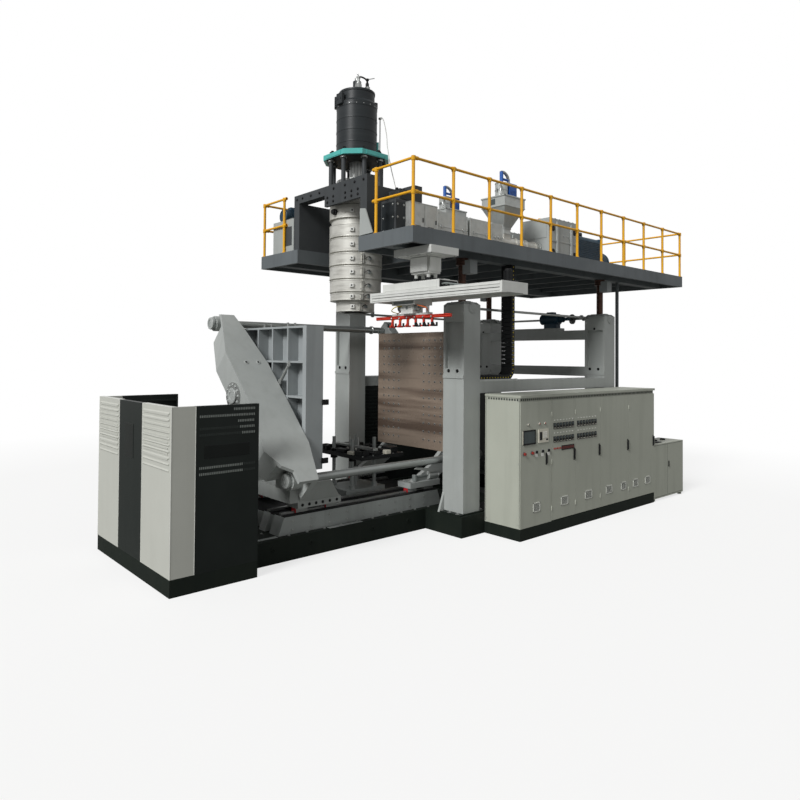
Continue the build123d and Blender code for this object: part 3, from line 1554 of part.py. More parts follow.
# Cabinet shell: an open-fronted box with a fixed instrument panel at the left
cabinet_front = cabinet_y[0]
door_back = cabinet_front + door_thickness
with BuildPart() as cabinet_body:
    block(cabinet_x, (door_back, cabinet_y[1]), (cabinet_plinth, cabinet_height - cabinet_roof))
    block(
        (cabinet_x[0] + cabinet_wall, cabinet_x[1] - cabinet_wall),
        (door_back, cabinet_y[1] - cabinet_wall),
        (door_bottom + 30, door_top - 30),
        Mode.SUBTRACT,
    )
    block((cabinet_x[0], door_edges[0] - door_gap), (cabinet_front, door_back),
          (cabinet_plinth, cabinet_height - cabinet_roof - 60))
    block(
        (cabinet_x[0] - 12, cabinet_x[1] + 12),
        (cabinet_front - 12, cabinet_y[1]),
        (cabinet_height - cabinet_roof, cabinet_height),
    )
    for places, z in ((stop_x, stop_z), (knob_x, knob_z)):
        for x in places:
            rod((x, cabinet_front, z), (x, door_back, z), control_stem_radius + running_gap,
                Mode.SUBTRACT)
cabinet_body.part.label = "cabinet_body"
export_step(cabinet_body.part, "parts/cabinet_body.step")

# Cabinet doors, each hinged on its left edge with a lever handle at the right
door_limits = door_edges + [cabinet_x[1]]


def cabinet_door(index):
    """One door leaf with its handle; the hinge line runs down its left edge."""
    left = door_limits[index] + door_gap / 2
    right = door_limits[index + 1] - door_gap / 2
    block((left, right), (cabinet_front, door_back - door_seat_gap), (door_bottom, door_top))
    handle_x = right - handle_inset
    block((handle_x - handle_width / 2, handle_x + handle_width / 2),
          (cabinet_front - handle_depth, cabinet_front), handle_z)


with BuildPart() as cabinet_door_1:
    cabinet_door(0)
cabinet_door_1.part.label = "cabinet_door_1"
export_step(cabinet_door_1.part, "parts/cabinet_door_1.step")

with BuildPart() as cabinet_door_2:
    cabinet_door(1)
cabinet_door_2.part.label = "cabinet_door_2"
export_step(cabinet_door_2.part, "parts/cabinet_door_2.step")

with BuildPart() as cabinet_door_3:
    cabinet_door(2)
cabinet_door_3.part.label = "cabinet_door_3"
export_step(cabinet_door_3.part, "parts/cabinet_door_3.step")

with BuildPart() as cabinet_door_4:
    cabinet_door(3)
cabinet_door_4.part.label = "cabinet_door_4"
export_step(cabinet_door_4.part, "parts/cabinet_door_4.step")

# Instruments on the fixed panel: screen, operator unit and lamp row
instrument_depth = 14
with BuildPart() as panel_instruments:
    block((1380, 1696), (cabinet_front - instrument_depth, cabinet_front), (1500, 1712))
    block((1784, 2058), (cabinet_front - instrument_depth, cabinet_front), (1498, 1712))
    for x in lamp_x:
        rod((x, cabinet_front - 20, lamp_z), (x, cabinet_front, lamp_z), lamp_radius)
panel_instruments.part.label = "panel_instruments"
export_step(panel_instruments.part, "parts/panel_instruments.step")


def emergency_stop(x):
    """Mushroom push button: a round head on a stem that slides in the panel."""
    head_back = cabinet_front - stop_travel - 8
    rod((x, head_back - 20, stop_z), (x, head_back, stop_z), stop_head_radius)
    rod((x, head_back, stop_z), (x, cabinet_front + control_stem_reach, stop_z),
        control_stem_radius)


def selector_knob(x):
    """Rotary selector: a round collar with a grip bar and a stem in the panel."""
    rod((x, cabinet_front - 12, knob_z), (x, cabinet_front - 1, knob_z), knob_radius)
    rod((x, cabinet_front - 1, knob_z), (x, cabinet_front + control_stem_reach, knob_z),
        control_stem_radius)
    block((x - 6, x + 6), (cabinet_front - 30, cabinet_front - 12), (knob_z - 20, knob_z + 20))


with BuildPart() as emergency_stop_left:
    emergency_stop(stop_x[0])
emergency_stop_left.part.label = "emergency_stop_left"
export_step(emergency_stop_left.part, "parts/emergency_stop_left.step")

with BuildPart() as emergency_stop_right:
    emergency_stop(stop_x[1])
emergency_stop_right.part.label = "emergency_stop_right"
export_step(emergency_stop_right.part, "parts/emergency_stop_right.step")

with BuildPart() as selector_knob_1:
    selector_knob(knob_x[0])
selector_knob_1.part.label = "selector_knob_1"
export_step(selector_knob_1.part, "parts/selector_knob_1.step")

with BuildPart() as selector_knob_2:
    selector_knob(knob_x[1])
selector_knob_2.part.label = "selector_knob_2"
export_step(selector_knob_2.part, "parts/selector_knob_2.step")

with BuildPart() as selector_knob_3:
    selector_knob(knob_x[2])
selector_knob_3.part.label = "selector_knob_3"
export_step(selector_knob_3.part, "parts/selector_knob_3.step")

# Auxiliary cabinet beyond the control cabinet, on short feet
with BuildPart() as aux_cabinet:
    block(aux_x, aux_y, (50, aux_height))
    for x in (aux_x[0] + 30, aux_x[1] - 90):
        for y in (aux_y[0] + 20, aux_y[1] - 80):
            block((x, x + 60), (y, y + 60), (0, 50))
aux_cabinet.part.label = "aux_cabinet"
export_step(aux_cabinet.part, "parts/aux_cabinet.step")
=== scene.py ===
import bmesh
import bpy
import numpy as np
from mathutils import Matrix


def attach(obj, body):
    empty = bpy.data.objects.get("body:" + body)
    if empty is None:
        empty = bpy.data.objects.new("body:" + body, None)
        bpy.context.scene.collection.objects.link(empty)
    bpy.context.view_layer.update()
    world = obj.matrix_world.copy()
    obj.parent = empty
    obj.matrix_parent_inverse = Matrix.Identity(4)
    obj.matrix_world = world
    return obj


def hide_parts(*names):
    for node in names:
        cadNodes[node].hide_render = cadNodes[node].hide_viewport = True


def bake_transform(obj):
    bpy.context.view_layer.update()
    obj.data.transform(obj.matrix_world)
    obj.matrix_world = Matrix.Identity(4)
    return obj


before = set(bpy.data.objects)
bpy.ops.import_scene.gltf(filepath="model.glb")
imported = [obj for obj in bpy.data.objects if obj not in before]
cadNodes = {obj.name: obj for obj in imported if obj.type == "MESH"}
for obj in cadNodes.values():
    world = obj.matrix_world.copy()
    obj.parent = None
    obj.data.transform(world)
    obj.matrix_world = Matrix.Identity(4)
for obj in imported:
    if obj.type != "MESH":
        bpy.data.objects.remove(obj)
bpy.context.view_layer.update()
print("frame loaded,", len(cadNodes), "nodes")

# camera at the photograph's standpoint, in metres and degrees
shot = {"place": (-6.984, -8.642, 2.869), "yaw": 49.058, "pitch": 1.060, "roll": 0.443, "lens": 29.10,
        "shift": (0.0281, -0.0696)}


def aimCamera(look):
    # forward from yaw and pitch, then the frame turned about it by the roll
    yaw, pitch, roll = np.radians([look["yaw"], look["pitch"], look["roll"]])
    forward = np.array([np.cos(yaw) * np.cos(pitch), np.sin(yaw) * np.cos(pitch), np.sin(pitch)])
    level = np.array([np.sin(yaw), -np.cos(yaw), 0.0])
    up = np.cross(level, forward)
    right = level * np.cos(roll) + up * np.sin(roll)
    top = up * np.cos(roll) - level * np.sin(roll)
    turn = np.eye(4)
    turn[:3, 0], turn[:3, 1], turn[:3, 2], turn[:3, 3] = right, top, -forward, look["place"]
    lens = bpy.data.cameras.new("photoCamera")
    lens.sensor_width = 36
    lens.lens = look["lens"]
    lens.shift_x, lens.shift_y = look["shift"]
    lens.clip_end = 200
    camera = bpy.data.objects.new("photoCamera", lens)
    camera.matrix_world = Matrix(turn.tolist())
    bpy.context.scene.collection.objects.link(camera)
    bpy.context.scene.camera = camera


aimCamera(shot)


# materials

def linear(code):
    # sRGB hex to linear light: ((c + 0.055) / 1.055) to the power 2.4 above the toe
    part = np.array([int(code[i:i + 2], 16) for i in (1, 3, 5)]) / 255
    value = np.where(part <= 0.04045, part / 12.92, ((part + 0.055) / 1.055) ** 2.4)
    return (*value.tolist(), 1.0)


def addNode(tree, kind, settings=None, links=None):
    node = tree.nodes.new(kind)
    for key, value in (settings or {}).items():
        if isinstance(key, str) and hasattr(node, key):
            setattr(node, key, value)
        else:
            node.inputs[key].default_value = value
    for key, (source, output) in (links or {}).items():
        tree.links.new(source.outputs[output], node.inputs[key])
    return node


def makeFinish(name, look):
    # slow noise shifts the colour, a stretched one lays runs and brush marks, a fine one gives the bump
    material = bpy.data.materials.new(name)
    material.use_nodes = True
    tree = material.node_tree
    shader = tree.nodes["Principled BSDF"]
    place = addNode(tree, "ShaderNodeTexCoord")
    slow = addNode(tree, "ShaderNodeTexNoise", {"Scale": 1000 / look.get("patch", 700), "Detail": 5.0,
                   "Roughness": 0.6}, {"Vector": (place, "Object")})
    share = addNode(tree, "ShaderNodeMapRange", {1: 0.35, 2: 0.68, 3: 0.0, 4: 0.5},
                    {0: (slow, 0)})
    tone = addNode(tree, "ShaderNodeMix", {"data_type": "RGBA", 6: linear(look["colour"]),
                   7: linear(look["second"])}, {0: (share, 0)})
    stretch = addNode(tree, "ShaderNodeMapping", {"Scale": look.get("run", (7, 7, 0.5))},
                      {"Vector": (place, "Object")})
    marks = addNode(tree, "ShaderNodeTexNoise", {"Scale": 1.0, "Detail": 6.0}, {"Vector": (stretch, 0)})
    low, high = look.get("soilSpan", (0.5, 0.75))
    soil = addNode(tree, "ShaderNodeMapRange", {1: low, 2: high, 3: 0.0, 4: look.get("soil", 0.3)},
                   {0: (marks, 0)})
    worn = addNode(tree, "ShaderNodeMix", {"data_type": "RGBA", 7: linear(look.get("grime", look["second"]))},
                   {0: (soil, 0), 6: (tone, 2)})
    colour, height = worn, None
    if look.get("deck"):  # upward faces of the platform are chequer plate, two crossed waves about 28 mm apart
        facing = addNode(tree, "ShaderNodeNewGeometry")
        parts = addNode(tree, "ShaderNodeSeparateXYZ", None, {0: (facing, "Normal")})
        upward = addNode(tree, "ShaderNodeMath", {"operation": "GREATER_THAN", 1: 0.9}, {0: (parts, 2)})
        bars = [addNode(tree, "ShaderNodeTexWave", {"Scale": 16.0, "bands_direction": "DIAGONAL"},
                        {"Vector": (addNode(tree, "ShaderNodeMapping", {"Rotation": (0, 0, turn)},
                                            {"Vector": (place, "Object")}), 0)}) for turn in (0.0, np.pi / 2)]
        plate = addNode(tree, "ShaderNodeMath", {"operation": "MAXIMUM"}, {0: (bars[0], 1), 1: (bars[1], 1)})
        raised = addNode(tree, "ShaderNodeMapRange", {1: 0.75, 2: 0.95}, {0: (plate, 0)})
        height = addNode(tree, "ShaderNodeMath", {"operation": "MULTIPLY"}, {0: (raised, 0), 1: (upward, 0)})
        rubbed = addNode(tree, "ShaderNodeMath", {"operation": "MULTIPLY", 1: 0.5}, {0: (height, 0)})
        colour = addNode(tree, "ShaderNodeMix", {"data_type": "RGBA", 7: linear("#9A9C9B")},
                         {0: (rubbed, 0), 6: (worn, 2)})
    fine = addNode(tree, "ShaderNodeTexNoise", {"Scale": 1000 / look.get("grain", 18), "Detail": 3.0},
                   {"Vector": (stretch, 0) if look.get("brushed") else (place, "Object")})
    bump = addNode(tree, "ShaderNodeBump", {"Strength": look.get("bump", 0.12), "Distance": 0.002},
                   {"Height": (fine, 0)})
    if look.get("thread"):  # a wave of scale 1 repeats every 314.16 mm; drawn coarser than real, to show
        height = addNode(tree, "ShaderNodeTexWave", {"Scale": 314.16 / look["thread"], "bands_direction": "Z"},
                         {"Vector": (place, "Object")})
    if height:
        bump = addNode(tree, "ShaderNodeBump", {"Strength": 0.6, "Distance": 0.004},
                       {"Height": (height, 1 if look.get("thread") else 0), "Normal": (bump, 0)})
    low, high = look["rough"]
    gloss = addNode(tree, "ShaderNodeMapRange", {1: 0.3, 2: 0.7, 3: low, 4: high}, {0: (slow, 0)})
    tree.links.new(colour.outputs[2], shader.inputs["Base Color"])
    tree.links.new(gloss.outputs[0], shader.inputs["Roughness"])
    tree.links.new(bump.outputs[0], shader.inputs["Normal"])
    shader.inputs["Metallic"].default_value = look.get("metal", 0.0)
    if look.get("face"):  # only the ground face in front is bare metal, the casting behind it is enamelled
        edge = look["face"]
        axes = addNode(tree, "ShaderNodeSeparateXYZ", None, {0: (place, "Object")})
        front = addNode(tree, "ShaderNodeMath", {"operation": "LESS_THAN", 1: edge["x"]}, {0: (axes, 0)})
        above = addNode(tree, "ShaderNodeMath", {"operation": "GREATER_THAN", 1: edge["z"]}, {0: (axes, 2)})
        bare = addNode(tree, "ShaderNodeMath", {"operation": "MULTIPLY"}, {0: (front, 0), 1: (above, 0)})
        split = addNode(tree, "ShaderNodeMix", {"data_type": "RGBA", 6: linear(edge["back"])},
                        {0: (bare, 0), 7: (colour, 2)})
        metal = addNode(tree, "ShaderNodeMath", {"operation": "MULTIPLY", 1: look["metal"]}, {0: (bare, 0)})
        tree.links.new(split.outputs[2], shader.inputs["Base Color"])
        tree.links.new(metal.outputs[0], shader.inputs["Metallic"])
    shader.inputs["Specular IOR Level"].default_value = look.get("specular", 0.5)
    if look.get("coat"):
        shader.inputs["Coat Weight"].default_value = look["coat"]
        shader.inputs["Coat Roughness"].default_value = 0.12
    return material


# each finish is named for the real one, the right platen's also for its painted reflection; colours are sRGB,
# patch and grain are in millimetres
finishes = {
    # alkyd enamel on welded plate: satin, faint orange peel, thin dust runs
    "enamelMachineGrey": {"colour": "#A9ADAA", "second": "#989C9A", "rough": (0.38, 0.5), "soil": 0.22,
                          "grime": "#83857F", "coat": 0.15},
    "enamelPlatenGrey": {"colour": "#9EA3A4", "second": "#8C9293", "rough": (0.4, 0.55), "soil": 0.3,
                         "grime": "#6F7374"},
    "enamelBedGrey": {"colour": "#A2A7A5", "second": "#8D9290", "rough": (0.4, 0.55), "soil": 0.35,
                      "grime": "#6E716D"},
    # thick black chassis paint, dusty at the edges
    "chassisBlack": {"colour": "#1A201C", "second": "#20261F", "rough": (0.5, 0.65), "soil": 0.2,
                     "grime": "#2C302A", "patch": 500, "specular": 0.15},
    # powder coat on folded sheet: even colour, fine peel
    "powderCoatPale": {"colour": "#C3C4BC", "second": "#B9BAB2", "rough": (0.4, 0.5), "soil": 0.12,
                       "grime": "#A8A9A0", "bump": 0.08},
    "powderCoatBlack": {"colour": "#1B201E", "second": "#212624", "rough": (0.3, 0.42), "soil": 0.15,
                        "grime": "#2A2F2C", "bump": 0.06, "specular": 0.22},
    # bare name plates, perforations and trims of the guard and cabinets
    "plateGloss": {"colour": "#111514", "second": "#161B19", "rough": (0.16, 0.24), "specular": 0.3,
                   "patch": 300},
    "slotLight": {"colour": "#7D827E", "second": "#6B706C", "rough": (0.5, 0.6), "patch": 60},
    "slotShade": {"colour": "#343937", "second": "#2A2F2D", "rough": (0.5, 0.6), "patch": 60, "specular": 0.2},
    "slotShadePale": {"colour": "#9A9C93", "second": "#8F9188", "rough": (0.5, 0.6), "patch": 60},
    "powderCoatTrim": {"colour": "#E2E3DD", "second": "#D6D7D0", "rough": (0.35, 0.45), "patch": 200},
    "displayRed": {"colour": "#6B2A26", "second": "#54211E", "rough": (0.15, 0.25), "patch": 40},
    "ventPale": {"colour": "#D3D5CD", "second": "#C4C6BE", "rough": (0.35, 0.45), "patch": 60},
    "powderCoatCabinet": {"colour": "#B2B5A9", "second": "#A8AB9F", "rough": (0.36, 0.48), "soil": 0.2,
                          "grime": "#85877C", "bump": 0.08, "specular": 0.35},
    # slate enamel on the platform's channel, chequer plate on top
    "enamelSlate": {"colour": "#63696C", "second": "#555B5E", "rough": (0.45, 0.62), "soil": 0.35,
                    "grime": "#474B4C", "deck": True},
    "enamelCharcoal": {"colour": "#45484A", "second": "#393C3E", "rough": (0.45, 0.6), "soil": 0.3,
                       "grime": "#2C2E2E", "specular": 0.25},
    "enamelSafetyYellow": {"colour": "#EFB011", "second": "#D89A0E", "rough": (0.3, 0.45), "soil": 0.2,
                           "grime": "#8F6A1A", "patch": 250},
    "enamelTeal": {"colour": "#52BDB6", "second": "#43A9A4", "rough": (0.28, 0.4), "soil": 0.2,
                   "grime": "#2F7F7C", "coat": 0.3, "patch": 300},
    # black enamel on the hydraulic cylinder, with rub marks round it
    "enamelCylinderBlack": {"colour": "#262A2C", "second": "#31363A", "rough": (0.3, 0.46), "soil": 0.35,
                            "grime": "#3E4243", "run": (0.6, 0.6, 9), "specular": 0.3},
    "enamelMotorBlue": {"colour": "#2C4656", "second": "#22384A", "rough": (0.35, 0.5), "soil": 0.3,
                        "grime": "#17242D", "patch": 200, "specular": 0.3},
    "enamelLoaderBlue": {"colour": "#2C62B4", "second": "#23519A", "rough": (0.3, 0.4), "patch": 150},
    "enamelRobotWhite": {"colour": "#D9DAD6", "second": "#C9CBC7", "rough": (0.35, 0.5), "soil": 0.25,
                         "grime": "#A9AAA4", "patch": 300},
    "enamelClawRed": {"colour": "#D63A26", "second": "#B92E1D", "rough": (0.3, 0.45), "patch": 150},
    # machined steel under a film of rust oil; its brown tone is partly a painted reflection of brown
    # surroundings, with darker bands across the plate
    "oiledPlatenBrownReflection": {"colour": "#A08F80", "second": "#877769", "rough": (0.22, 0.36), "metal": 0.35,
                    "soil": 0.95, "soilSpan": (0.44, 0.64), "grime": "#5E4E43", "run": (0.30, 0.35, 5.5),
                    "patch": 900, "face": {"x": 1.36, "z": 1.205, "back": "#A1A5A3"}},
    "oiledScrew": {"colour": "#54392E", "second": "#2C211D", "rough": (0.3, 0.45), "metal": 0.6,
                   "run": (3, 3, 14), "soil": 0.5, "patch": 120, "thread": 48.0},
    # stainless heater bands, dulled by heat
    "stainlessBand": {"colour": "#D6D5CE", "second": "#B9B7AF", "rough": (0.34, 0.5), "metal": 0.35,
                      "soil": 0.4, "grime": "#6B675F", "run": (3, 3, 18), "patch": 180, "brushed": True},
    "machinedSteel": {"colour": "#B5B7B5", "second": "#9C9E9C", "rough": (0.25, 0.4), "metal": 0.85,
                      "soil": 0.2, "grime": "#7E807E", "patch": 150, "brushed": True},
    "barSteel": {"colour": "#A4A8A6", "second": "#8F9391", "rough": (0.24, 0.34), "metal": 0.6,
                 "run": (0.5, 14, 14), "soil": 0.25, "grime": "#777B79", "brushed": True},
    "castIronGrey": {"colour": "#7C8280", "second": "#6A6F6E", "rough": (0.5, 0.65), "soil": 0.35,
                     "grime": "#4D5150", "grain": 9, "bump": 0.3},
    "galvanisedSheet": {"colour": "#C3C6C3", "second": "#A9ADAA", "rough": (0.32, 0.48), "metal": 0.5,
                        "patch": 90, "soil": 0.2, "grime": "#8C908D"},
    # moulded rubber and nylon: near black, matt
    "rubberBlack": {"colour": "#1C1D1D", "second": "#27292A", "rough": (0.55, 0.75), "soil": 0.35,
                    "grime": "#2E302F", "patch": 200, "grain": 8, "specular": 0.2},
    "nylonBlack": {"colour": "#18191A", "second": "#222324", "rough": (0.4, 0.55), "patch": 120,
                   "specular": 0.2},
    "nylonYellow": {"colour": "#D8C22C", "second": "#BBA51F", "rough": (0.4, 0.5), "patch": 60},
    "rubberRed": {"colour": "#B8242B", "second": "#961B20", "rough": (0.45, 0.6), "patch": 60},
    "moldedOrange": {"colour": "#DD6A22", "second": "#C4571A", "rough": (0.4, 0.5), "patch": 60},
    "moldedWhite": {"colour": "#E6E6E1", "second": "#D3D3CD", "rough": (0.35, 0.5), "patch": 60},
    "moldedBeige": {"colour": "#D6D2C4", "second": "#C6C2B3", "rough": (0.35, 0.5), "patch": 80},
    "screenGlass": {"colour": "#3E4A4C", "second": "#2F393B", "rough": (0.08, 0.16), "patch": 120,
                    "coat": 0.8, "bump": 0.0},
    "lampRed": {"colour": "#A32A20", "second": "#7E1D16", "rough": (0.15, 0.25), "patch": 30, "coat": 0.6},
}
palette = {name: makeFinish(name, look) for name, look in finishes.items()}

nodeFinish = {
    "chassisBlack": ["floor_plinths"],
    "enamelBedGrey": ["rail_frame", "blow_unit_base"],
    "machinedSteel": ["guide_rails", "injection_piston", "die_core", "extruder_screw_near", "extruder_screw_far",
                      "clamp_cylinder", "clamp_rod", "spreader_near", "spreader_far", "lift_shaft_near",
                      "lift_shaft_far", "lift_shaft_rear"],
    "rubberBlack": ["way_covers"],
    "powderCoatPale": ["guard_corner_panels"],
    "powderCoatBlack": ["dark_panels"],
    "enamelMachineGrey": ["front_columns", "rear_columns", "portal_beams", "lift_gearboxes", "yoke",
                          "gearboxes", "hydraulic_block"],
    "enamelPlatenGrey": ["left_platen"],
    # the right platen's brown tone is partly painted reflection
    "oiledPlatenBrownReflection": ["right_platen"],
    "enamelMotorBlue": ["lift_motor", "drive_motors"],
    "enamelSlate": ["platform_frame"],
    "enamelSafetyYellow": ["handrail"],
    "oiledScrew": ["lift_screws"],
    "stainlessBand": ["die_head_body", "extruder_barrels"],
    "enamelCharcoal": ["head_frame"],
    "enamelTeal": ["head_top_plate"],
    "enamelCylinderBlack": ["head_cylinder"],
    "enamelRobotWhite": ["robot_beam", "robot_mount", "robot_carriage"],
    "galvanisedSheet": ["barrel_covers", "hoppers"],
    "enamelLoaderBlue": ["loaders"],
    "enamelClawRed": ["gripper_jaw_near", "gripper_jaw_far"],
    "nylonBlack": ["cable_chain", "blow_table", "selector_knob_1", "selector_knob_2", "selector_knob_3"],
    "barSteel": ["tie_bars"],
    "powderCoatCabinet": ["cabinet_body", "cabinet_door_1", "cabinet_door_2", "cabinet_door_3",
                          "cabinet_door_4", "aux_cabinet"],
    "moldedBeige": ["panel_instruments"],
    "lampRed": ["emergency_stop_left", "emergency_stop_right"],
}
for finish, names in nodeFinish.items():
    for name in names:
        slots = cadNodes[name].data.materials
        if not slots:
            slots.append(palette[finish])
        for index in range(len(slots)):
            slots[index] = palette[finish]
print("materials assigned,", len(palette))


# shapes: each is a pair of a point array and a list of faces

def joined(shapes):
    # points stacked, faces shifted by the points before them
    shift = np.cumsum([0] + [len(points) for points, _ in shapes])
    faces = [[corner + int(step) for corner in face]
             for (_, group), step in zip(shapes, shift) for face in group]
    return np.concatenate([points for points, _ in shapes]), faces


def gridFaces(rows, columns, copies):
    # quads of a grid that closes on itself round its columns
    across = np.arange(columns)
    nextOne = (across + 1) % columns
    down = np.arange(rows - 1)[:, None] * columns
    quad = np.stack([down + across, down + nextOne, down + columns + nextOne, down + columns + across], -1)
    quads = quad.reshape(-1, 4)[None] + np.arange(copies)[:, None, None] * rows * columns
    return quads.reshape(-1, 4).tolist()


def axisFrame(axis):
    # two unit vectors square to an axis
    axis = np.array(axis, float) / np.linalg.norm(axis)
    side = np.cross(axis, [0, 0, 1] if abs(axis[2]) < 0.9 else [1, 0, 0])
    side /= np.linalg.norm(side)
    return axis, side, np.cross(axis, side)


def turned(profile, places, axis=(0, 0, 1), sides=24):
    # point = place + axis * height + radius * (side cos t + other sin t), for every place at once
    axis, side, other = axisFrame(axis)
    profile = np.array(profile, float)
    places = np.atleast_2d(np.array(places, float))
    angle = np.linspace(0, 2 * np.pi, sides, endpoint=False)
    ring = np.cos(angle)[:, None] * side + np.sin(angle)[:, None] * other
    points = (places[:, None, None, :] + profile[None, :, None, 1:2] * axis
              + profile[None, :, None, 0:1] * ring[None, None])
    return points.reshape(-1, 3), gridFaces(len(profile), sides, len(places))


def boxes(ranges, cut=0.004):
    # eight-cornered rings at four heights: full size in the middle, drawn in by the cut at both ends
    ranges = np.atleast_2d(np.array(ranges, float))
    low, high = ranges[:, 0::2], ranges[:, 1::2]
    middle, half = (low + high) / 2, np.abs(high - low) / 2
    trim = np.minimum(cut, half.min(1) * 0.45)[:, None]
    signs = np.array([(1, 1), (1, 1), (-1, 1), (-1, 1), (-1, -1), (-1, -1), (1, -1), (1, -1)], float)
    shortX = np.array([0, 1, 1, 0, 0, 1, 1, 0], float)
    ringX = signs[:, 0] * (half[:, 0:1] - trim * shortX)
    ringY = signs[:, 1] * (half[:, 1:2] - trim * (1 - shortX))
    levels = []
    for height, inset in ((-1, None), (-1, 1), (-1, 0), (1, 0), (1, 1), (1, None)):
        scale = 0.0 if inset is None else 1.0
        x = ringX * scale - np.sign(ringX) * trim * (inset or 0)
        y = ringY * scale - np.sign(ringY) * trim * (inset or 0)
        z = np.repeat(height * (half[:, 2:3] - (trim if inset == 0 else 0)), 8, 1)
        levels.append(np.stack([x, y, z], -1))
    points = np.stack(levels, 1) + middle[:, None, None, :]
    return points.reshape(-1, 3), gridFaces(6, 8, len(ranges))


def smoothPath(knots, count=24):
    # Catmull-Rom through the knots: a cubic in t between each pair
    knots = np.array(knots, float)
    padded = np.concatenate([2 * knots[:1] - knots[1:2], knots, 2 * knots[-1:] - knots[-2:-1]])
    t = np.linspace(0, 1, count, endpoint=False)[None, :, None]
    a, b, c, d = (padded[i:len(padded) - 3 + i, None, :] for i in range(4))
    curve = 0.5 * (2 * b + (c - a) * t + (2 * a - 5 * b + 4 * c - d) * t ** 2
                   + (3 * b - a - 3 * c + d) * t ** 3)
    return np.concatenate([curve.reshape(-1, 3), knots[-1:]])


def swept(path, radius, sides=10):
    # rings of the radius round the path, square to its direction, shut at both ends
    path = np.array(path, float)
    along = np.gradient(path, axis=0)
    along /= np.linalg.norm(along, axis=1)[:, None]
    guide = np.array([0.31, 0.17, 0.93]) if abs(along[:, 2]).mean() < 0.8 else np.array([0.95, 0.3, 0.05])
    side = np.cross(along, guide)
    side /= np.linalg.norm(side, axis=1)[:, None]
    other = np.cross(along, side)
    angle = np.linspace(0, 2 * np.pi, sides, endpoint=False)
    size = np.concatenate([[0], np.full(len(path), radius), [0]])[:, None, None]
    rows = np.concatenate([[0], np.arange(len(path)), [len(path) - 1]])
    ring = (np.cos(angle)[None, :, None] * side[rows][:, None]
            + np.sin(angle)[None, :, None] * other[rows][:, None])
    points = path[rows][:, None] + ring * size
    return points.reshape(-1, 3), gridFaces(len(rows), sides, 1)


def slab(outline, start, across, upward, depth):
    # a flat outline in the plane of across and upward, given a thickness along their cross product
    across, upward = np.array(across, float), np.array(upward, float)
    normal = np.cross(across, upward)
    flat = np.array(start, float) + np.array(outline)[:, :1] * across + np.array(outline)[:, 1:] * upward
    count = len(outline)
    points = np.concatenate([flat, flat + normal * depth])
    sides = [[i, (i + 1) % count, count + (i + 1) % count, count + i] for i in range(count)]
    return points, [list(range(count))[::-1], list(range(count, 2 * count))] + sides


def addPiece(name, shapes, body, finish, smooth=True, ride=True):
    points, faces = joined(shapes)
    mesh = bpy.data.meshes.new(name)
    mesh.from_pydata(points.tolist(), [], faces)
    mesh.materials.append(palette[finish])
    piece = bpy.data.objects.new(name, mesh)
    bpy.context.scene.collection.objects.link(piece)
    work = bmesh.new()
    work.from_mesh(mesh)
    bmesh.ops.remove_doubles(work, verts=work.verts, dist=1e-5)
    bmesh.ops.recalc_face_normals(work, faces=work.faces)
    work.to_mesh(mesh)
    work.free()
    if smooth:
        mesh.polygons.foreach_set("use_smooth", [True] * len(mesh.polygons))
        mesh.set_sharp_from_angle(angle=0.6)
    if ride:
        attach(piece, body)
    return piece


def repeated(shape, origins, along=None, upward=(0, 0, 1)):
    # copies of a shape: local x runs along, local z runs upward, one copy for each origin
    points, faces = shape
    origins = np.atleast_2d(np.array(origins, float))
    along = np.broadcast_to(np.array(along if along is not None else (1, 0, 0), float), origins.shape)
    upward = np.broadcast_to(np.array(upward, float), origins.shape)
    side = np.cross(upward, along)
    side /= np.linalg.norm(side, axis=1)[:, None]
    along = np.cross(side, upward)
    along = along / np.linalg.norm(along, axis=1)[:, None]
    turn = np.stack([along, side, upward / np.linalg.norm(upward, axis=1)[:, None]], -1)
    placed = np.einsum("kij,pj->kpi", turn, points) + origins[:, None]
    count = len(points)
    return placed.reshape(-1, 3), [[corner + step * count for corner in face]
                                   for step in range(len(origins)) for face in faces]


def boltHeads(places, axis, size=0.018):
    # washer, hexagon head and the bevel on its top
    washer = [(0, -0.001), (1.5 * size, -0.001), (1.5 * size, 0.2 * size), (0, 0.2 * size)]
    head = [(0, 0.2 * size), (size, 0.2 * size), (size, 0.75 * size), (0.8 * size, 0.9 * size),
            (0, 0.9 * size)]
    return joined([turned(washer, places, axis, 14), turned(head, places, axis, 6)])


def lattice(*axes):
    # every combination of the given coordinates
    return np.stack(np.meshgrid(*axes, indexing="ij"), -1).reshape(-1, len(axes))


def ringOf(centre, radius, count, axis=(0, 0, 1), start=0.0):
    # points on a circle about an axis
    _, side, other = axisFrame(axis)
    angle = np.radians(start) + np.arange(count) * 2 * np.pi / count
    return np.array(centre) + radius * (np.cos(angle)[:, None] * side + np.sin(angle)[:, None] * other)


def disc(radius, height):
    # profile of a plain round plate
    return [(0, 0), (radius, 0), (radius, height), (0, height)]


def cap(radius, wall, height, bevel, foot=0.0):
    # profile of a round plate whose top edge is cut back by the bevel
    return [(0, foot), (radius, foot), (radius, wall), (radius - bevel, height), (0, height)]


def collar(inner, outer, wall, height, bevel, foot=0.0):
    # profile of a ring whose outer edge is cut back by the bevel
    return [(inner, foot), (outer, foot), (outer, wall), (outer - bevel, height), (inner, height),
            (inner, foot)]


def band(inner, outer, half):
    # profile of a flat ring, half its width to each side
    return [(inner, -half), (outer, -half), (outer, half), (inner, half), (inner, -half)]


def about(x, y, z, halfX, halfY, halfZ):
    # box range round its middle
    return x - halfX, x + halfX, y - halfY, y + halfY, z - halfZ, z + halfZ


def mirrored(ranges):
    # box ranges and their images across the machine's middle plane
    return [*ranges, *((x0, x1, -y1, -y0, z0, z1) for x0, x1, y0, y1, z0, z1 in ranges)]


def pipe(knots, radius, sides=8, count=8):
    return swept(smoothPath(knots, count), radius, sides)


def addBoxes(name, body, finish, cut, ranges):
    return addPiece(name, [boxes(ranges, cut)], body, finish, False)


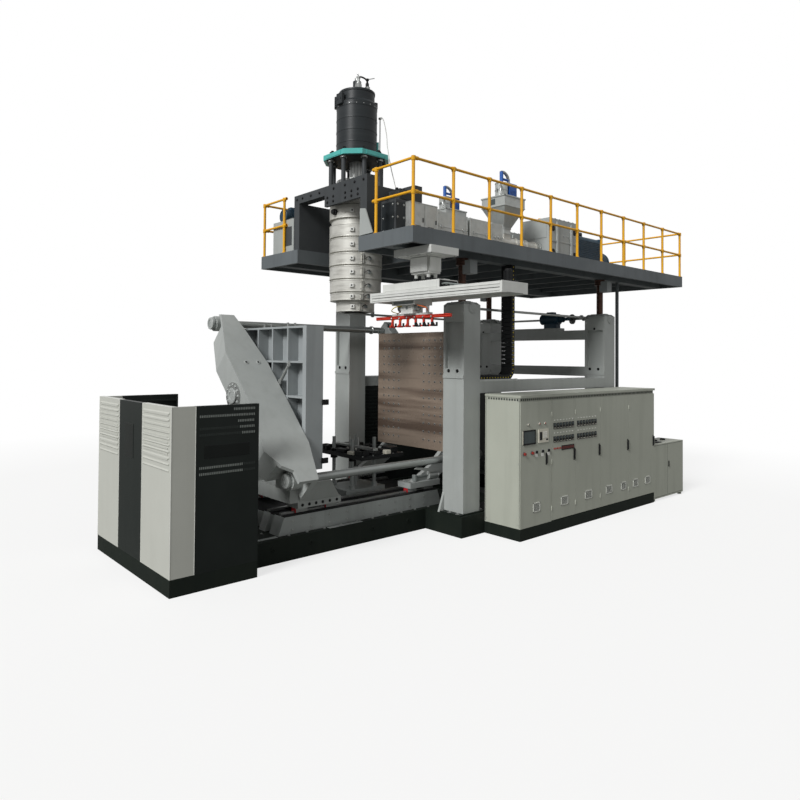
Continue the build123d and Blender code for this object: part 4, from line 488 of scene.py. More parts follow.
def addBolts(name, body, finish, *groups):
    # each group is places, axis and size
    return addPiece(name, [boltHeads(*group) for group in groups], body, finish)


plusX, plusY, plusZ = (1, 0, 0), (0, 1, 0), (0, 0, 1)
minusX, minusY, minusZ = (-1, 0, 0), (0, -1, 0), (0, 0, -1)
bothSides = (-1, 1)

# guard: slots, bare plates, louvres and edge trims; a slot row is its level, start and end
guard = {"front": -3.805, "half": 1.280, "top": 2.245, "foot": 0.215, "trim": 0.003,
         "frameLevels": (0.32, 1.20, 2.14), "slot": (0.00675, 0.0022, 0.015), "slotPitch": 0.024,
         "slotsOpen": [(2.191, -2.98, -2.68), (2.115, -3.44, -2.68), (2.039, -2.92, -2.68),
                       (1.963, -2.89, -2.68), (1.887, -2.86, -2.68), (1.487, -3.44, -2.85),
                       (1.411, -3.44, -2.85)],
         "slotsShut": [(1.963, -3.44, -2.91), (1.887, -3.44, -2.88), (1.487, -2.83, -2.68),
                       (1.411, -2.83, -2.68)],
         "louvreTop": 2.165, "louvrePitch": 0.0755, "louvreRows": 10,
         "louvreSpans": [(-1.225, -0.415), (0.480, 1.235)],
         "hood": [(0.0, 0.016), (0.004, 0.013), (0.008, 0.004), (0.0085, -0.004), (0.0055, -0.007),
                  (0.0, -0.006)]}
slotShape = boxes([about(0, 0, 0, *guard["slot"])], 0.0015)
for name, rows, finish in (("guardSlotsOpen", "slotsOpen", "slotLight"),
                           ("guardSlotsShut", "slotsShut", "slotShade")):
    places = np.concatenate([lattice(np.arange(start, end, guard["slotPitch"]), [-guard["half"], guard["half"]],
                                     [level]) for level, start, end in guard[rows]])
    addPiece(name, [repeated(slotShape, places)], "base", finish, False)
addBoxes("guardBarePlates", "base", "plateGloss", 0.002,
         mirrored([(-3.386, -2.768, 1.279, 1.2835, 1.600, 1.756)])
         + [(-3.8085, -3.804, -0.08, 0.23, 1.50, 1.95)])
louvres = [(guard["louvreTop"] - row * guard["louvrePitch"], *span)
           for row in range(guard["louvreRows"]) for span in guard["louvreSpans"]]
addPiece("guardLouvres", [slab(guard["hood"], (guard["front"], low, level), minusX, plusZ, high - low)
                          for level, low, high in louvres], "base", "powderCoatPale")
addBoxes("guardLouvreMouths", "base", "slotShadePale", 0.001,
         [(guard["front"] - 0.0015, guard["front"] + 0.002, low + 0.006, high - 0.006,
           level - 0.013, level - 0.006) for level, low, high in louvres])
trim, upright = guard["trim"], (guard["foot"], guard["top"])
guardEdges = [(guard["front"] - trim, guard["front"] + 2 * trim, y - trim, y + trim, *upright)
              for y in (-1.2795, -0.379, 0.444, 1.2795)]
guardEdges += mirrored([(-3.498 - trim, -3.498 + trim, guard["half"] - trim, guard["half"] + trim, *upright)])
guardEdges += [(guard["front"] - 0.002, guard["front"] + 0.072, low, high,
                guard["top"] - 0.001, guard["top"] + 0.004) for low, high in ((-1.282, -0.376), (0.442, 1.282))]
addBoxes("guardEdgeTrims", "base", "powderCoatTrim", 0.002, guardEdges)
guardFrame = mirrored([(-3.736, -3.716, 1.165, 1.205, 0.22, 2.20), (-2.665, -2.637, 1.182, 1.210, 0.22, 2.20),
                       *((-3.70, -2.66, 1.182, 1.210, z, z + 0.03) for z in guard["frameLevels"])])
guardFrame += [(-3.735, -3.707, -1.17, 1.17, z, z + 0.03) for z in guard["frameLevels"]]
addBoxes("guardInnerFrame", "base", "powderCoatBlack", 0.003, guardFrame)
print("guard dressed")

# floor frame and rail bed; the ports of each side are given by their x
bed = {"top": 0.330, "half": 0.976, "portLevel": 0.194, "railTop": 0.6195,
       "ports": {-1: (-2.2, -1.568, -0.4, 0.35), 1: (-2.2, -1.568, -0.4, 1.2)}}
addPiece("basePortRings", [turned(collar(0.016, 0.036, 0.006, 0.009, 0.006),
                                  [(x, side * bed["half"], bed["portLevel"]) for x in ports], (0, side, 0), 20)
                           for side, ports in bed["ports"].items()], "base", "chassisBlack")
addBoxes("baseTopStrips", "base", "enamelBedGrey", 0.002,
         mirrored([(-1.23, -0.60, 0.900, 0.972, 0.3295, 0.336), (-2.54, -2.08, 0.84, 0.90, 0.3295, 0.338)]))
addBolts("baseClampBolts", "base", "machinedSteel",
         (lattice(np.arange(-1.9, 1.2, 0.31), [-0.905, 0.905], [bed["top"]]), plusZ, 0.016),
         (lattice([-2.44, -2.30, -2.16], [-0.6, 0.0, 0.6], [bed["top"]]), plusZ, 0.016))
addBolts("railBeamSideBolts", "base", "machinedSteel",
         *((lattice(np.arange(-1.82, 1.15, 0.33), [side * 0.870], [0.39, 0.51]), (0, side, 0), 0.012)
           for side in bothSides))
screwHead = [(0, 0), (0.009, 0), (0.009, 0.0015), (0.005, 0.002), (0.005, 0.0004), (0, 0.0004)]
railScrews = lattice(np.arange(-1.90, 1.10, 0.12), [-0.745, 0.745, -0.420, 0.420], [bed["railTop"]])
addPiece("guideRailScrews", [turned(screwHead, railScrews, plusZ, 8)], "base", "machinedSteel")

# portal columns: foot plates, flange bolts, side bolts, gearbox covers
column = {"x": (0.878, 5.18), "deep": 0.402, "y": 1.475, "foot": 0.3295, "coverX": 0.201, "coverLevel": 3.665,
          "top": 3.7695, "portLevel": 3.47, "portX": {-1: 5.179, 1: 5.583}}
corners = [(x, side) for x in column["x"] for side in bothSides]
addBoxes("columnFootPlates", "base", "chassisBlack", 0.003,
         [(x - 0.105, x + 0.507, side * column["y"] - 0.250, side * column["y"] + 0.250, column["foot"], 0.352)
          for x, side in corners])
addBolts("columnAnchorNuts", "base", "machinedSteel",
         ([(x + dx, side * column["y"] + dy, 0.351) for x, side in corners for dx in (-0.075, 0.480)
           for dy in (-0.17, 0.0, 0.17)], plusZ, 0.022))
print("floor frame dressed")
faceBolts = np.array([(x, side * y, 2.64) for x, side in corners for y in (1.37, 1.56)])
addBolts("columnFaceBolts", "base", "nylonBlack", (faceBolts, minusX, 0.020),
         (faceBolts + (column["deep"], 0, 0), plusX, 0.020))
gearCover = [(0, 0), (0.085, 0), (0.085, 0.010), (0.075, 0.014), (0.030, 0.014), (0.030, 0.020), (0, 0.020)]
addPiece("gearboxCovers", [turned(gearCover, [(x + column["coverX"], side * 1.6995, column["coverLevel"])],
                                  (0, side, 0), 28) for x, side in corners]
         + [boxes([(x + 0.150, x + 0.252, side * column["y"] - 0.16, side * column["y"] + 0.16,
                    column["top"], 3.7865) for x, side in corners], 0.006)], "base", "enamelMachineGrey")
addBolts("gearboxCoverBolts", "base", "machinedSteel",
         *((ringOf((x + column["coverX"], side * 1.7135, column["coverLevel"]), 0.064, 6, plusY),
            (0, side, 0), 0.008) for x, side in corners),
         ([(x + dx, side * (column["y"] + dy), column["top"]) for x, side in corners
           for dx in (0.09, 0.312) for dy in (-0.125, 0.125)], plusZ, 0.014),
         ([(x - 0.0005, side * (column["y"] + dy), z) for x, side in corners
           for dy in (-0.19, 0.19) for z in (3.60, 3.70)], minusX, 0.010))
for name, profile, proud, count, finish in (
        ("columnPortRings", collar(0.026, 0.046, 0.005, 0.008, 0.006), 0.0, 24, "enamelMachineGrey"),
        ("columnPortPlugs", disc(0.027, 0.002), 0.0005, 20, "nylonBlack")):
    addPiece(name, [turned(profile, [(x + way * proud, side * column["y"], column["portLevel"])
                                     for side in bothSides], (way, 0, 0), count)
                    for way, x in column["portX"].items()], "base", finish)
print("columns dressed")


def finned(start, end, radius, depth, count, web=0.35):
    # a cooling-rib barrel: the radius steps in and out round the circle, shut at both ends
    start, end = np.array(start, float), np.array(end, float)
    _, side, other = axisFrame(end - start)
    share = np.tile([0, web / 2, web / 2 + 0.08, 0.92 - web / 2], count)
    angle = 2 * np.pi * (np.repeat(np.arange(count), 4) + share) / count
    reach = np.tile([radius, radius, radius - depth, radius - depth], count)
    ring = reach[:, None] * (np.cos(angle)[:, None] * side + np.sin(angle)[:, None] * other)
    points = np.concatenate([start + ring * 0, start + ring, end + ring, end + ring * 0])
    return points, gridFaces(4, 4 * count, 1)


def grille(centre, axis, radius, rings=5):
    # round guard wires and two crossed spokes over a fan mouth
    axis, side, other = axisFrame(axis)
    angle = np.linspace(0, 2 * np.pi, 33)
    hoops = [swept(np.array(centre) + r * (np.cos(angle)[:, None] * side + np.sin(angle)[:, None] * other),
                   0.003, 5) for r in np.linspace(radius * 0.2, radius, rings)]
    spokes = [swept(np.array(centre) + np.linspace(-radius, radius, 4)[:, None]
                    * (np.cos(turn) * side + np.sin(turn) * other) + axis * 0.003, 0.004, 5)
              for turn in (0.4, 1.97)]
    return joined(hoops + spokes)


liftDrive = {"motor": ((5.241, -0.565, 3.705), (5.241, -0.225, 3.705), 0.118, 0.012, 26),
             "terminalBox": (5.172, 5.310, -0.475, -0.305, 3.805, 3.866),
             "wheel": ((5.381, -0.846, 3.705), (5.381, -0.804, 3.705), 0.107, 0.014, 30, 0.5)}
addPiece("liftMotorRibs", [finned(*liftDrive["motor"]), boxes([liftDrive["terminalBox"]], 0.008)], "base",
         "enamelMotorBlue", False)
addPiece("liftChainWheel", [finned(*liftDrive["wheel"])], "lift_shaft_rear", "nylonBlack", False)
print("lift drive dressed")

# clamp: yoke plates, bolts and wipers; the near plate stands square to the tie-bar diagonal
clamp = {"axis": 2.268, "normal": np.array([0, -0.7021, 0.7121]), "down": np.array([0, -0.7121, -0.7021]),
         "near": 0.280, "barY": 1.134, "barZ": 1.118, "footTop": 0.760}


def onYoke(x, along):
    # a point of the near plate: x and the distance down the diagonal
    return np.array([x, 0, clamp["axis"]]) + clamp["normal"] * clamp["near"] + clamp["down"] * along


def onBars(x):
    # the middles of the two tie bars at x
    return [(x, side * clamp["barY"], clamp["axis"] + side * clamp["barZ"]) for side in bothSides]


def wiperParts(x, y):
    # a lip across the rail and a cheek on each side of it
    lip = (x - 0.012, x + 0.001)
    return [(*lip, y - 0.050, y - 0.0245, 0.598, 0.662), (*lip, y + 0.0245, y + 0.050, 0.598, 0.662),
            (*lip, y - 0.0245, y + 0.0245, 0.6235, 0.662)]


addBolts("yokeHubBolts", "clamp_frame", "enamelMachineGrey",
         (ringOf((-2.3365, 0, clamp["axis"]), 0.085, 8, plusX), minusX, 0.014),
         (ringOf((-2.3205, 0, clamp["axis"]), 0.162, 12, plusX), minusX, 0.016))
hubCap = [(0.0, -0.001), (0.118, -0.001), (0.118, 0.004), (0.112, 0.010), (0.060, 0.010), (0.055, 0.004),
          (0.0, 0.004)]
addPiece("yokeHubCap", [turned(hubCap, [(-2.336, 0, clamp["axis"])], minusX, 40)], "clamp_frame",
         "enamelMachineGrey")
barCap = [(0.0, 0.001), (0.022, 0.001), (0.022, 0.006), (0.052, 0.006), (0.060, 0.002), (0.060, -0.004),
          (0.0, -0.004)]
addPiece("tieBarNutRings", [turned(barCap, onBars(-2.120), minusX, 28),
                            turned(collar(0.0625, 0.101, 0.030, 0.036, 0.005), onBars(-2.096), minusX, 12)],
         "clamp_frame", "enamelMachineGrey")
addBolts("tieBarEndBolts", "clamp_frame", "enamelMachineGrey",
         *((ringOf(place, 0.108, 8, plusX), minusX, 0.012) for place in onBars(-2.060)))
liftHoles = [onYoke(x, -0.42) for x in (-2.038, -1.831)]
addPiece("yokeLiftHoleRings", [turned(collar(0.020, 0.040, 0.004, 0.008, 0.006), liftHoles,
                                      clamp["normal"], 20)], "clamp_frame", "enamelMachineGrey")
addPiece("yokeLiftHolePlugs", [turned(disc(0.021, 0.002), liftHoles, clamp["normal"], 20)], "clamp_frame",
         "nylonBlack")
addBolts("yokeFootBolts", "clamp_frame", "nylonBlack",
         *((lattice([-1.65, -1.53, -1.41, -1.29, -1.16, -1.03], [side * 0.8725], [0.715]), (0, side, 0), 0.015)
           for side in bothSides))
addBolts("clampFootTopBolts", "clamp_frame", "machinedSteel",
         (lattice([-1.715, -0.965, 0.53, 0.62, 1.10, 1.19], [-0.84, -0.59, 0.59, 0.84], [clamp["footTop"]]),
          plusZ, 0.015))
for name, body, stations, railY in (("guideWipers", "clamp_frame", (-1.710, -1.170, 0.525), 0.745),
                                    ("platenWipers", "left_platen", (-1.565, -1.225), 0.420)):
    addBoxes(name, body, "rubberRed", 0.003,
             [part for x in stations for side in bothSides for part in wiperParts(x, side * railY)])
addBolts("platenArmBolts", "clamp_frame", "machinedSteel",
         ([(1.8305, y, clamp["axis"] + y * 0.986 + dz) for y in (-0.85, -0.6, -0.35, 0.35, 0.6, 0.85)
           for dz in (-0.10, 0.10)], plusX, 0.018))
addPiece("tieBarCollars", [turned(collar(0.0605, 0.078, 0.028, 0.034, 0.007), onBars(1.341), minusX, 24)],
         "clamp_frame", "machinedSteel")
footBarrel = [(0, 0), (0.064, 0), (0.070, 0.006), (0.070, 0.234), (0.064, 0.240), (0, 0.240)]
addPiece("footCylinder", [turned(footBarrel, [(0.98, -0.785, 0.832)], plusX, 28),
                          turned(disc(0.078, 0.030), [(1.19, -0.785, 0.832)], plusX, 8)],
         "clamp_frame", "enamelMachineGrey")
addPiece("footCylinderRod", [swept([(0.70, -0.785, 0.832), (0.985, -0.785, 0.832)], 0.022, 12),
                             boxes([(0.66, 0.71, -0.825, -0.745, 0.759, 0.872)], 0.006)],
         "clamp_frame", "castIronGrey", False)
addPiece("footBrace", [slab([(0.60, 0.985), (0.66, 1.005), (1.24, 0.930), (1.24, 0.895), (1.02, 0.895)],
                            (0, -0.846, 0), plusX, plusZ, 0.012)], "clamp_frame", "enamelMachineGrey", False)

# left platen: pocket brace, top and edge fittings, and the mould bolt sleeves of both platens
platen = {"top": 3.31, "face": 1.340, "holeY": np.array([0.330, 0.470, 0.610, 0.750]),
          "holeRows": 13, "holePitch": 0.150}
addPiece("platenPocketBrace", [swept([(-1.640, -0.486, 2.755), (-1.640, -0.221, 2.465)], 0.026, 12),
                               turned([(0, -0.006), (0.040, -0.006), (0.040, 0.016), (0, 0.016)],
                                      [(-1.640, -0.478, 2.746), (-1.640, -0.229, 2.474)], minusX, 18)],
         "left_platen", "machinedSteel")
nipple = [(0, 0), (0.020, 0), (0.020, 0.018), (0.013, 0.020), (0.013, 0.050), (0.018, 0.052), (0.018, 0.064),
          (0, 0.064)]
fittings = lattice([-1.55, -1.42], [-0.286, 0.40], [platen["top"]])
fittingPipe = [(-1.55, -0.286, 3.345), (-1.50, -0.30, 3.352), (-1.42, -0.286, 3.345)]
addPiece("platenTopFittings", [turned(nipple, fittings, plusZ, 14), swept(fittingPipe, 0.007, 8)],
         "left_platen", "machinedSteel")
addBoxes("platenEdgeBlocks", "left_platen", "nylonBlack", 0.004,
         mirrored([(-1.36, -1.25, 0.919, 0.948, z - 0.040, z + 0.040) for z in (2.187, 1.330)]))
holeSleeve = [(0.0125, 0.0), (0.021, 0.0), (0.021, 0.002), (0.0125, 0.003), (0.0125, 0.0)]
holeZ = clamp["axis"] + (np.arange(platen["holeRows"]) - platen["holeRows"] // 2) * platen["holePitch"]
for name, body, way in (("leftMouldSleeves", "left_platen", -1), ("rightMouldSleeves", "clamp_frame", 1)):
    holes = lattice([way * platen["face"]], np.concatenate([-platen["holeY"], platen["holeY"]]), holeZ)
    addPiece(name, [turned(holeSleeve, holes, (-way, 0, 0), 12)], body, "machinedSteel")
print("clamp dressed")

# blow unit: valves, hoses and posts on the lifting table, flanges and bolts on its base
table = {"top": 1.250, "foot": 1.249, "base": 0.4195,
         "blocks": [(-0.30, -0.16, -0.60, -0.42, 1.330), (-0.10, 0.06, -0.62, -0.46, 1.300),
                    (0.30, 0.48, -0.58, -0.36, 1.345), (-0.32, -0.18, 0.36, 0.55, 1.330),
                    (0.32, 0.50, 0.34, 0.56, 1.320), (-0.30, -0.20, -0.12, 0.12, 1.310),
                    (0.34, 0.46, -0.10, 0.14, 1.325)],
         "boxes": [(-0.345, -0.24, -0.40, -0.24, 1.300), (0.16, 0.27, -0.645, -0.50, 1.315),
                   (-0.12, 0.02, 0.44, 0.56, 1.290)],
         "posts": [(0.10, -0.30), (0.10, 0.30), (-0.12, -0.20)],
         "pipes": [[(-0.30, -0.50, 1.325), (-0.22, -0.44, 1.342), (-0.10, -0.40, 1.30), (0.02, -0.50, 1.295)],
                   [(0.38, -0.40, 1.335), (0.30, -0.30, 1.345), (0.20, -0.20, 1.300), (0.14, -0.28, 1.300)],
                   [(-0.25, 0.40, 1.322), (-0.16, 0.36, 1.338), (0.0, 0.32, 1.300), (0.09, 0.30, 1.300)],
                   [(0.40, 0.10, 1.318), (0.34, 0.0, 1.342), (0.26, -0.06, 1.300), (0.18, -0.04, 1.262)]]}
for name, finish in (("blocks", "nylonBlack"), ("boxes", "moldedBeige")):
    addBoxes("blowTable" + name.capitalize(), "blow_table", finish, 0.006,
             [(*plan, table["foot"], top) for *plan, top in table[name]])
addBolts("blowTableScrews", "blow_table", "machinedSteel",
         (lattice([-0.33, -0.11, 0.11, 0.33, 0.53], [-0.63, 0.58], [table["top"]]), plusZ, 0.010))
airPost = [(0, 0), (0.026, 0), (0.026, 0.012), (0.014, 0.016), (0.014, 0.062), (0.018, 0.064), (0.018, 0.078),
           (0, 0.078)]
addPiece("blowAirPosts", [turned(airPost, [(x, y, table["foot"]) for x, y in table["posts"]], plusZ, 16)],
         "blow_table", "moldedWhite")
addPiece("blowAirPipes", [pipe(knots, 0.009) for knots in table["pipes"]], "blow_table", "rubberBlack")
addPiece("blowPostFlanges", [turned(collar(0.0305, 0.052, 0.022, 0.030, 0.008),
                                    lattice([-0.24, 0.24], [-0.25, 0.25], [0.419]), plusZ, 20)], "base",
         "machinedSteel")
addBolts("blowBaseBolts", "base", "machinedSteel",
         (lattice([-0.38, 0.0, 0.38], [-0.29, 0.29], [table["base"]]), plusZ, 0.015))
print("blow unit dressed")

# accumulator head: band edges, clamps, terminals and studs; a ring is its low level, high level and radius,
# and a turn is in degrees from the direction that faces the camera
head = {"rings": [(3.620, 3.780, 0.327), (3.800, 3.920, 0.428), (3.940, 4.140, 0.438), (4.160, 4.370, 0.445),
                  (4.390, 4.590, 0.452), (4.610, 4.840, 0.452), (4.860, 5.070, 0.452), (5.170, 5.390, 0.452),
                  (5.410, 5.550, 0.442)],
        "toCamera": -128.95, "terminalTurn": 7.7, "clampTurn": -13.9, "sensorTurn": -31.3, "couplingTurn": 49.7,
        "frameX": 0.6005, "boltLevel": 5.625}


def around(turn, radius, level):
    # a place on the head: degrees from the direction that faces the camera, radius, height
    angle = np.radians(head["toCamera"] - turn)
    return np.array([radius * np.cos(angle), radius * np.sin(angle), level])


def outwardAt(turn):
    return around(turn, 1.0, 0.0)


def onHead(shape, turn, radius, level):
    # a shape drawn at the origin, its x turned outward on the head
    return repeated(shape, [around(turn, radius, level)], outwardAt(turn))


bandEdge = [(-0.012, -0.006), (0.0045, -0.006), (0.006, 0.0), (0.0045, 0.007), (-0.012, 0.007),
            (-0.012, -0.006)]
addPiece("headBandEdges", [turned(np.array(bandEdge) + (radius, 0), [(0, 0, level)], plusZ, 72)
                           for low, high, radius in head["rings"] for level in (low + 0.0075, high - 0.0085)],
         "platform", "stainlessBand")
terminals, sockets, clamps, clampBolts, sensors, leads = [], [], [], [], [], []
for (low, high, radius), flip in ((ring, flip) for ring in head["rings"] for flip in (0, 180)):
    middle, tall = (low + high) / 2, high - low
    turn = head["terminalTurn"] + flip
    terminals.append(onHead(boxes([about(0.016, 0, 0, 0.018, 0.036, 0.034)], 0.006), turn, radius, middle))
    sockets.append(turned(disc(0.014, 0.004), [around(turn, radius + 0.033, middle)], outwardAt(turn), 14))
    turn = head["clampTurn"] + flip
    clamps.append(onHead(boxes(mirrored([(-0.004, 0.030, 0.010, 0.016, -tall * 0.46, tall * 0.46)]), 0.002),
                         turn, radius, middle))
    tangent = np.cross(plusZ, outwardAt(turn))
    for level in (middle - 0.28 * tall, middle + 0.28 * tall):
        start = around(turn, radius + 0.016, level)
        clampBolts.append(swept([start - tangent * 0.030, start + tangent * 0.030], 0.0055, 8))
        clampBolts.append(turned(disc(0.010, 0.010), [start + tangent * 0.020], tangent, 6))
    turn = head["sensorTurn"] + flip
    sensors.append(onHead(boxes([about(0.011, 0, 0, 0.013, 0.030, 0.026)], 0.005), turn, radius, middle))
    leads.append(pipe([around(turn + by, radius + out, middle + lift) for by, out, lift in
                       ((0, 0.018, 0), (2, 0.030, 0.03), (7, 0.020, 0.02), (12, 0.010, -0.01))], 0.006, 7, 5))
addPiece("headTerminals", terminals, "platform", "moldedWhite", False)
addPiece("headTerminalSockets", sockets, "platform", "nylonBlack")
addPiece("headBandClamps", clamps, "platform", "stainlessBand", False)
addPiece("headClampBolts", clampBolts, "platform", "machinedSteel")
addPiece("headSensorBlocks", sensors, "platform", "castIronGrey", False)
addPiece("headSensorLeads", leads, "platform", "nylonBlack")
addBolts("headJointBolts", "platform", "machinedSteel", (ringOf((0, 0, 5.549), 0.405, 24), plusZ, 0.014),
         (ringOf((0, 0, 3.6205), 0.318, 12, plusZ, 15), minusZ, 0.012))
coupling = [(0, 0), (0.052, 0), (0.052, 0.040), (0.040, 0.048), (0.040, 0.075), (0.022, 0.080), (0, 0.080)]
addPiece("headCoupling", [turned(coupling, [around(head["couplingTurn"], 0.445, 5.280)],
                                 outwardAt(head["couplingTurn"]), 24)], "platform", "nylonBlack")

# head frame: apron bolts, brackets, studs and nuts on the top plate
frontBolts = lattice([-head["frameX"]], [-0.78, -0.62, -0.46, -0.14, 0.02], [5.42, 5.50]).tolist()
frontBolts += [(-head["frameX"], y, head["boltLevel"])
               for y in (-0.92, -0.70, -0.45, -0.15, 0.25, 0.50, 0.75, 0.92)]
addBolts("headFrameBolts", "platform", "nylonBlack", (frontBolts, minusX, 0.016),
         ([(head["frameX"], y, head["boltLevel"]) for y in (-0.92, -0.6, -0.3, 0.3, 0.6, 0.92)], plusX, 0.016))
bracket = [(0.860, 5.176), (0.989, 5.154), (1.165, 4.757), (0.853, 4.748)]
addPiece("headStandBracket", [slab(bracket, (-0.600, 0, 0), minusY, plusZ, 0.018)], "platform",
         "enamelMachineGrey", False)
topPlate = {"top": 6.2845, "under": 6.1965, "half": 0.497, "pillars": ringOf((0, 0, 0), 0.450, 8, plusZ, 22.5),
            "collarLevels": ((5.700, 1), (6.200, -1))}
nutStack = [(0, 0), (0.060, 0), (0.060, 0.008), (0.048, 0.008), (0.048, 0.052), (0.042, 0.058), (0.026, 0.058),
            (0.026, 0.078), (0, 0.078)]
addPiece("topPlateNuts", [turned(nutStack, topPlate["pillars"] * 0.95 + (0, 0, topPlate["top"]), plusZ, 6)],
         "platform", "nylonBlack", False)
addPiece("pillarCollars", [turned(collar(0.0385, 0.058, 0.030, 0.036, 0.008),
                                  topPlate["pillars"] + (0, 0, level), (0, 0, way), 20)
                           for level, way in topPlate["collarLevels"]],
         "platform", "machinedSteel")
octagon = [(topPlate["half"] / np.cos(np.pi / 8) * np.cos(a), topPlate["half"] / np.cos(np.pi / 8) * np.sin(a))
           for a in np.pi / 8 + np.arange(8) * np.pi / 4]
addPiece("topPlateUnderside", [slab(octagon, (0, 0, topPlate["under"]), plusX, plusY, 0.004)], "platform",
         "nylonBlack", False)
addBoxes("topPlateEdgeBars", "platform", "enamelTeal", 0.002,
         [(-0.507, -0.499, -0.20, 0.20, 6.212, 6.273), (0.499, 0.507, -0.20, 0.20, 6.212, 6.273),
          *mirrored([(-0.20, 0.20, 0.499, 0.507, 6.212, 6.273)])])

# hydraulic cylinder: seams, base bolts, cap studs, valve block, levers and pipes
ram = {"radius": 0.350, "cap": 0.305, "foot": 6.285, "joint": 7.150, "top": 7.400,
       "rubBands": ((0.050, 0.050), (0.20, 0.018), (0.41, 0.030), (0.61, 0.016), (0.835, 0.050)),
       "sideTurn": np.array([0.755, -0.656, 0.0]), "rodRadius": 0.402}


def hoop(radius, level, wide, proud):
    # a crowned band round the cylinder
    return turned([(radius - 0.010, -wide / 2), (radius + proud, -wide / 2), (radius + proud * 1.3, 0),
                   (radius + proud, wide / 2), (radius - 0.010, wide / 2), (radius - 0.010, -wide / 2)],
                  [(0, 0, level)], plusZ, 64)


addPiece("cylinderRubBands", [hoop(ram["radius"], ram["foot"] + lift, wide, 0.0035)
                              for lift, wide in ram["rubBands"]], "platform", "enamelCylinderBlack")
capSkirt = [(0.300, 0.0), (0.352, 0.0), (0.352, 0.024), (0.340, 0.036), (0.310, 0.060), (0.304, 0.075),
            (0.300, 0.0)]
addPiece("cylinderCapSkirt", [turned(capSkirt, [(0, 0, ram["joint"] - 0.0005)], plusZ, 64),
                              hoop(ram["cap"], ram["top"] - 0.020, 0.036, 0.008)], "platform",
         "enamelCylinderBlack")
addBolts("cylinderBolts", "platform", "nylonBlack",
         (ringOf((0, 0, ram["foot"] + 0.0135), 0.385, 20), plusZ, 0.016),
         (ringOf((0, 0, ram["top"] - 0.0005), 0.250, 16), plusZ, 0.018))
addBolts("cylinderSeamBolts", "platform", "machinedSteel",
         *(([place], (place[0], place[1], 0), 0.010)
           for place in ringOf((0, 0, ram["joint"] - 0.030), ram["radius"] - 0.001, 18)))
addPiece("cylinderFootRing", [turned(collar(0.348, 0.412, 0.010, 0.014, 0.006), [(0, 0, ram["foot"] - 0.0005)],
                                     plusZ, 64)], "platform", "enamelCylinderBlack")
# oil ports on the cap: two silver blocks, an elbow, levers and a small valve
elbow = [(0, 0), (0.040, 0), (0.040, 0.030), (0.028, 0.036), (0.028, 0.100), (0.036, 0.104), (0.036, 0.130),
         (0, 0.130)]
addPiece("cylinderTopPorts", [boxes([(-0.110, -0.020, -0.160, -0.070, 7.399, 7.520),
                                     (0.060, 0.130, -0.200, -0.120, 7.399, 7.500)], 0.008),
                              turned(elbow, [(-0.065, -0.115, 7.518)], plusZ, 18)], "platform", "machinedSteel",
         False)
valve = [(0, 0), (0.030, 0), (0.030, 0.060), (0.018, 0.066), (0.018, 0.110), (0.030, 0.116), (0.030, 0.140),
         (0, 0.140)]
addPiece("cylinderTopValves", [turned(valve, [(0.095, -0.160, 7.498)], plusZ, 16),
                               pipe([(-0.065, -0.115, 7.640), (-0.02, -0.13, 7.652), (0.05, -0.15, 7.636),
                                     (0.095, -0.160, 7.600)], 0.014, 10, 6)], "platform", "nylonBlack")
levers = ([(-0.065, -0.115, 7.640), (-0.10, -0.15, 7.652), (-0.15, -0.19, 7.660)],
          [(0.095, -0.160, 7.630), (0.14, -0.20, 7.640), (0.19, -0.24, 7.652)])
addPiece("cylinderLevers", [swept(lever, 0.007, 8) for lever in levers], "platform", "machinedSteel")
addPiece("cylinderSideValve", [boxes([(-0.396, -0.335, -0.074, 0.074, 7.126, 7.314)], 0.006),
                               turned(disc(0.020, 0.006), lattice([-0.396], [-0.04, 0.04], [7.22]), minusX, 12),
                               repeated(boxes([(0.290, 0.388, -0.055, 0.055, -0.095, 0.100)], 0.010),
                                        [(0, 0, 7.225)], (-0.80, 0.60, 0)),
                               repeated(boxes([(0.300, 0.375, -0.045, 0.045, -0.060, 0.060)], 0.008),
                                        [(0, 0, 7.235)], (0.95, -0.30, 0))], "platform", "enamelCylinderBlack",
         False)
# bracket and scale rod stand at the side seen on the right from the camera
rodX, rodY, _ = ram["sideTurn"] * ram["rodRadius"]
addPiece("cylinderBracket", [repeated(boxes([(0.338, 0.384, -0.030, 0.030, -0.008, 0.262),
                                             (0.338, 0.420, -0.040, 0.040, -0.008, 0.012)], 0.003),
                                      [(0, 0, ram["foot"] + 0.008)], ram["sideTurn"])], "platform",
         "enamelTeal", False)
addPiece("strokeScaleRod", [swept([(rodX, rodY, 6.283), (rodX, rodY, 6.98)], 0.010, 10),
                            repeated(boxes([about(0, 0, 0, 0.022, 0.022, 0.016)], 0.004),
                                     [(rodX, rodY, z) for z in (6.300, 6.975)])], "platform", "machinedSteel")
addPiece("cylinderOilPipes", [pipe([(0.378, -0.03, 7.00), (0.392, -0.03, 6.90), (0.392, -0.03, 6.60),
                                    (0.400, -0.04, 6.40), (0.40, -0.05, 6.30)], 0.014, 10, 10)],
         "platform", "enamelCylinderBlack")
pipeRun = ((0.402, 6.990), (0.440, 6.985), (0.475, 6.900), (0.515, 6.700), (0.535, 6.470), (0.595, 6.130),
           (0.650, 5.900), (0.700, 5.690))
addPiece("strokeSensorPipe", [pipe([(*(ram["sideTurn"][:2] * reach), z) for reach, z in pipeRun], 0.0075)],
         "platform", "moldedWhite")
print("head dressed")

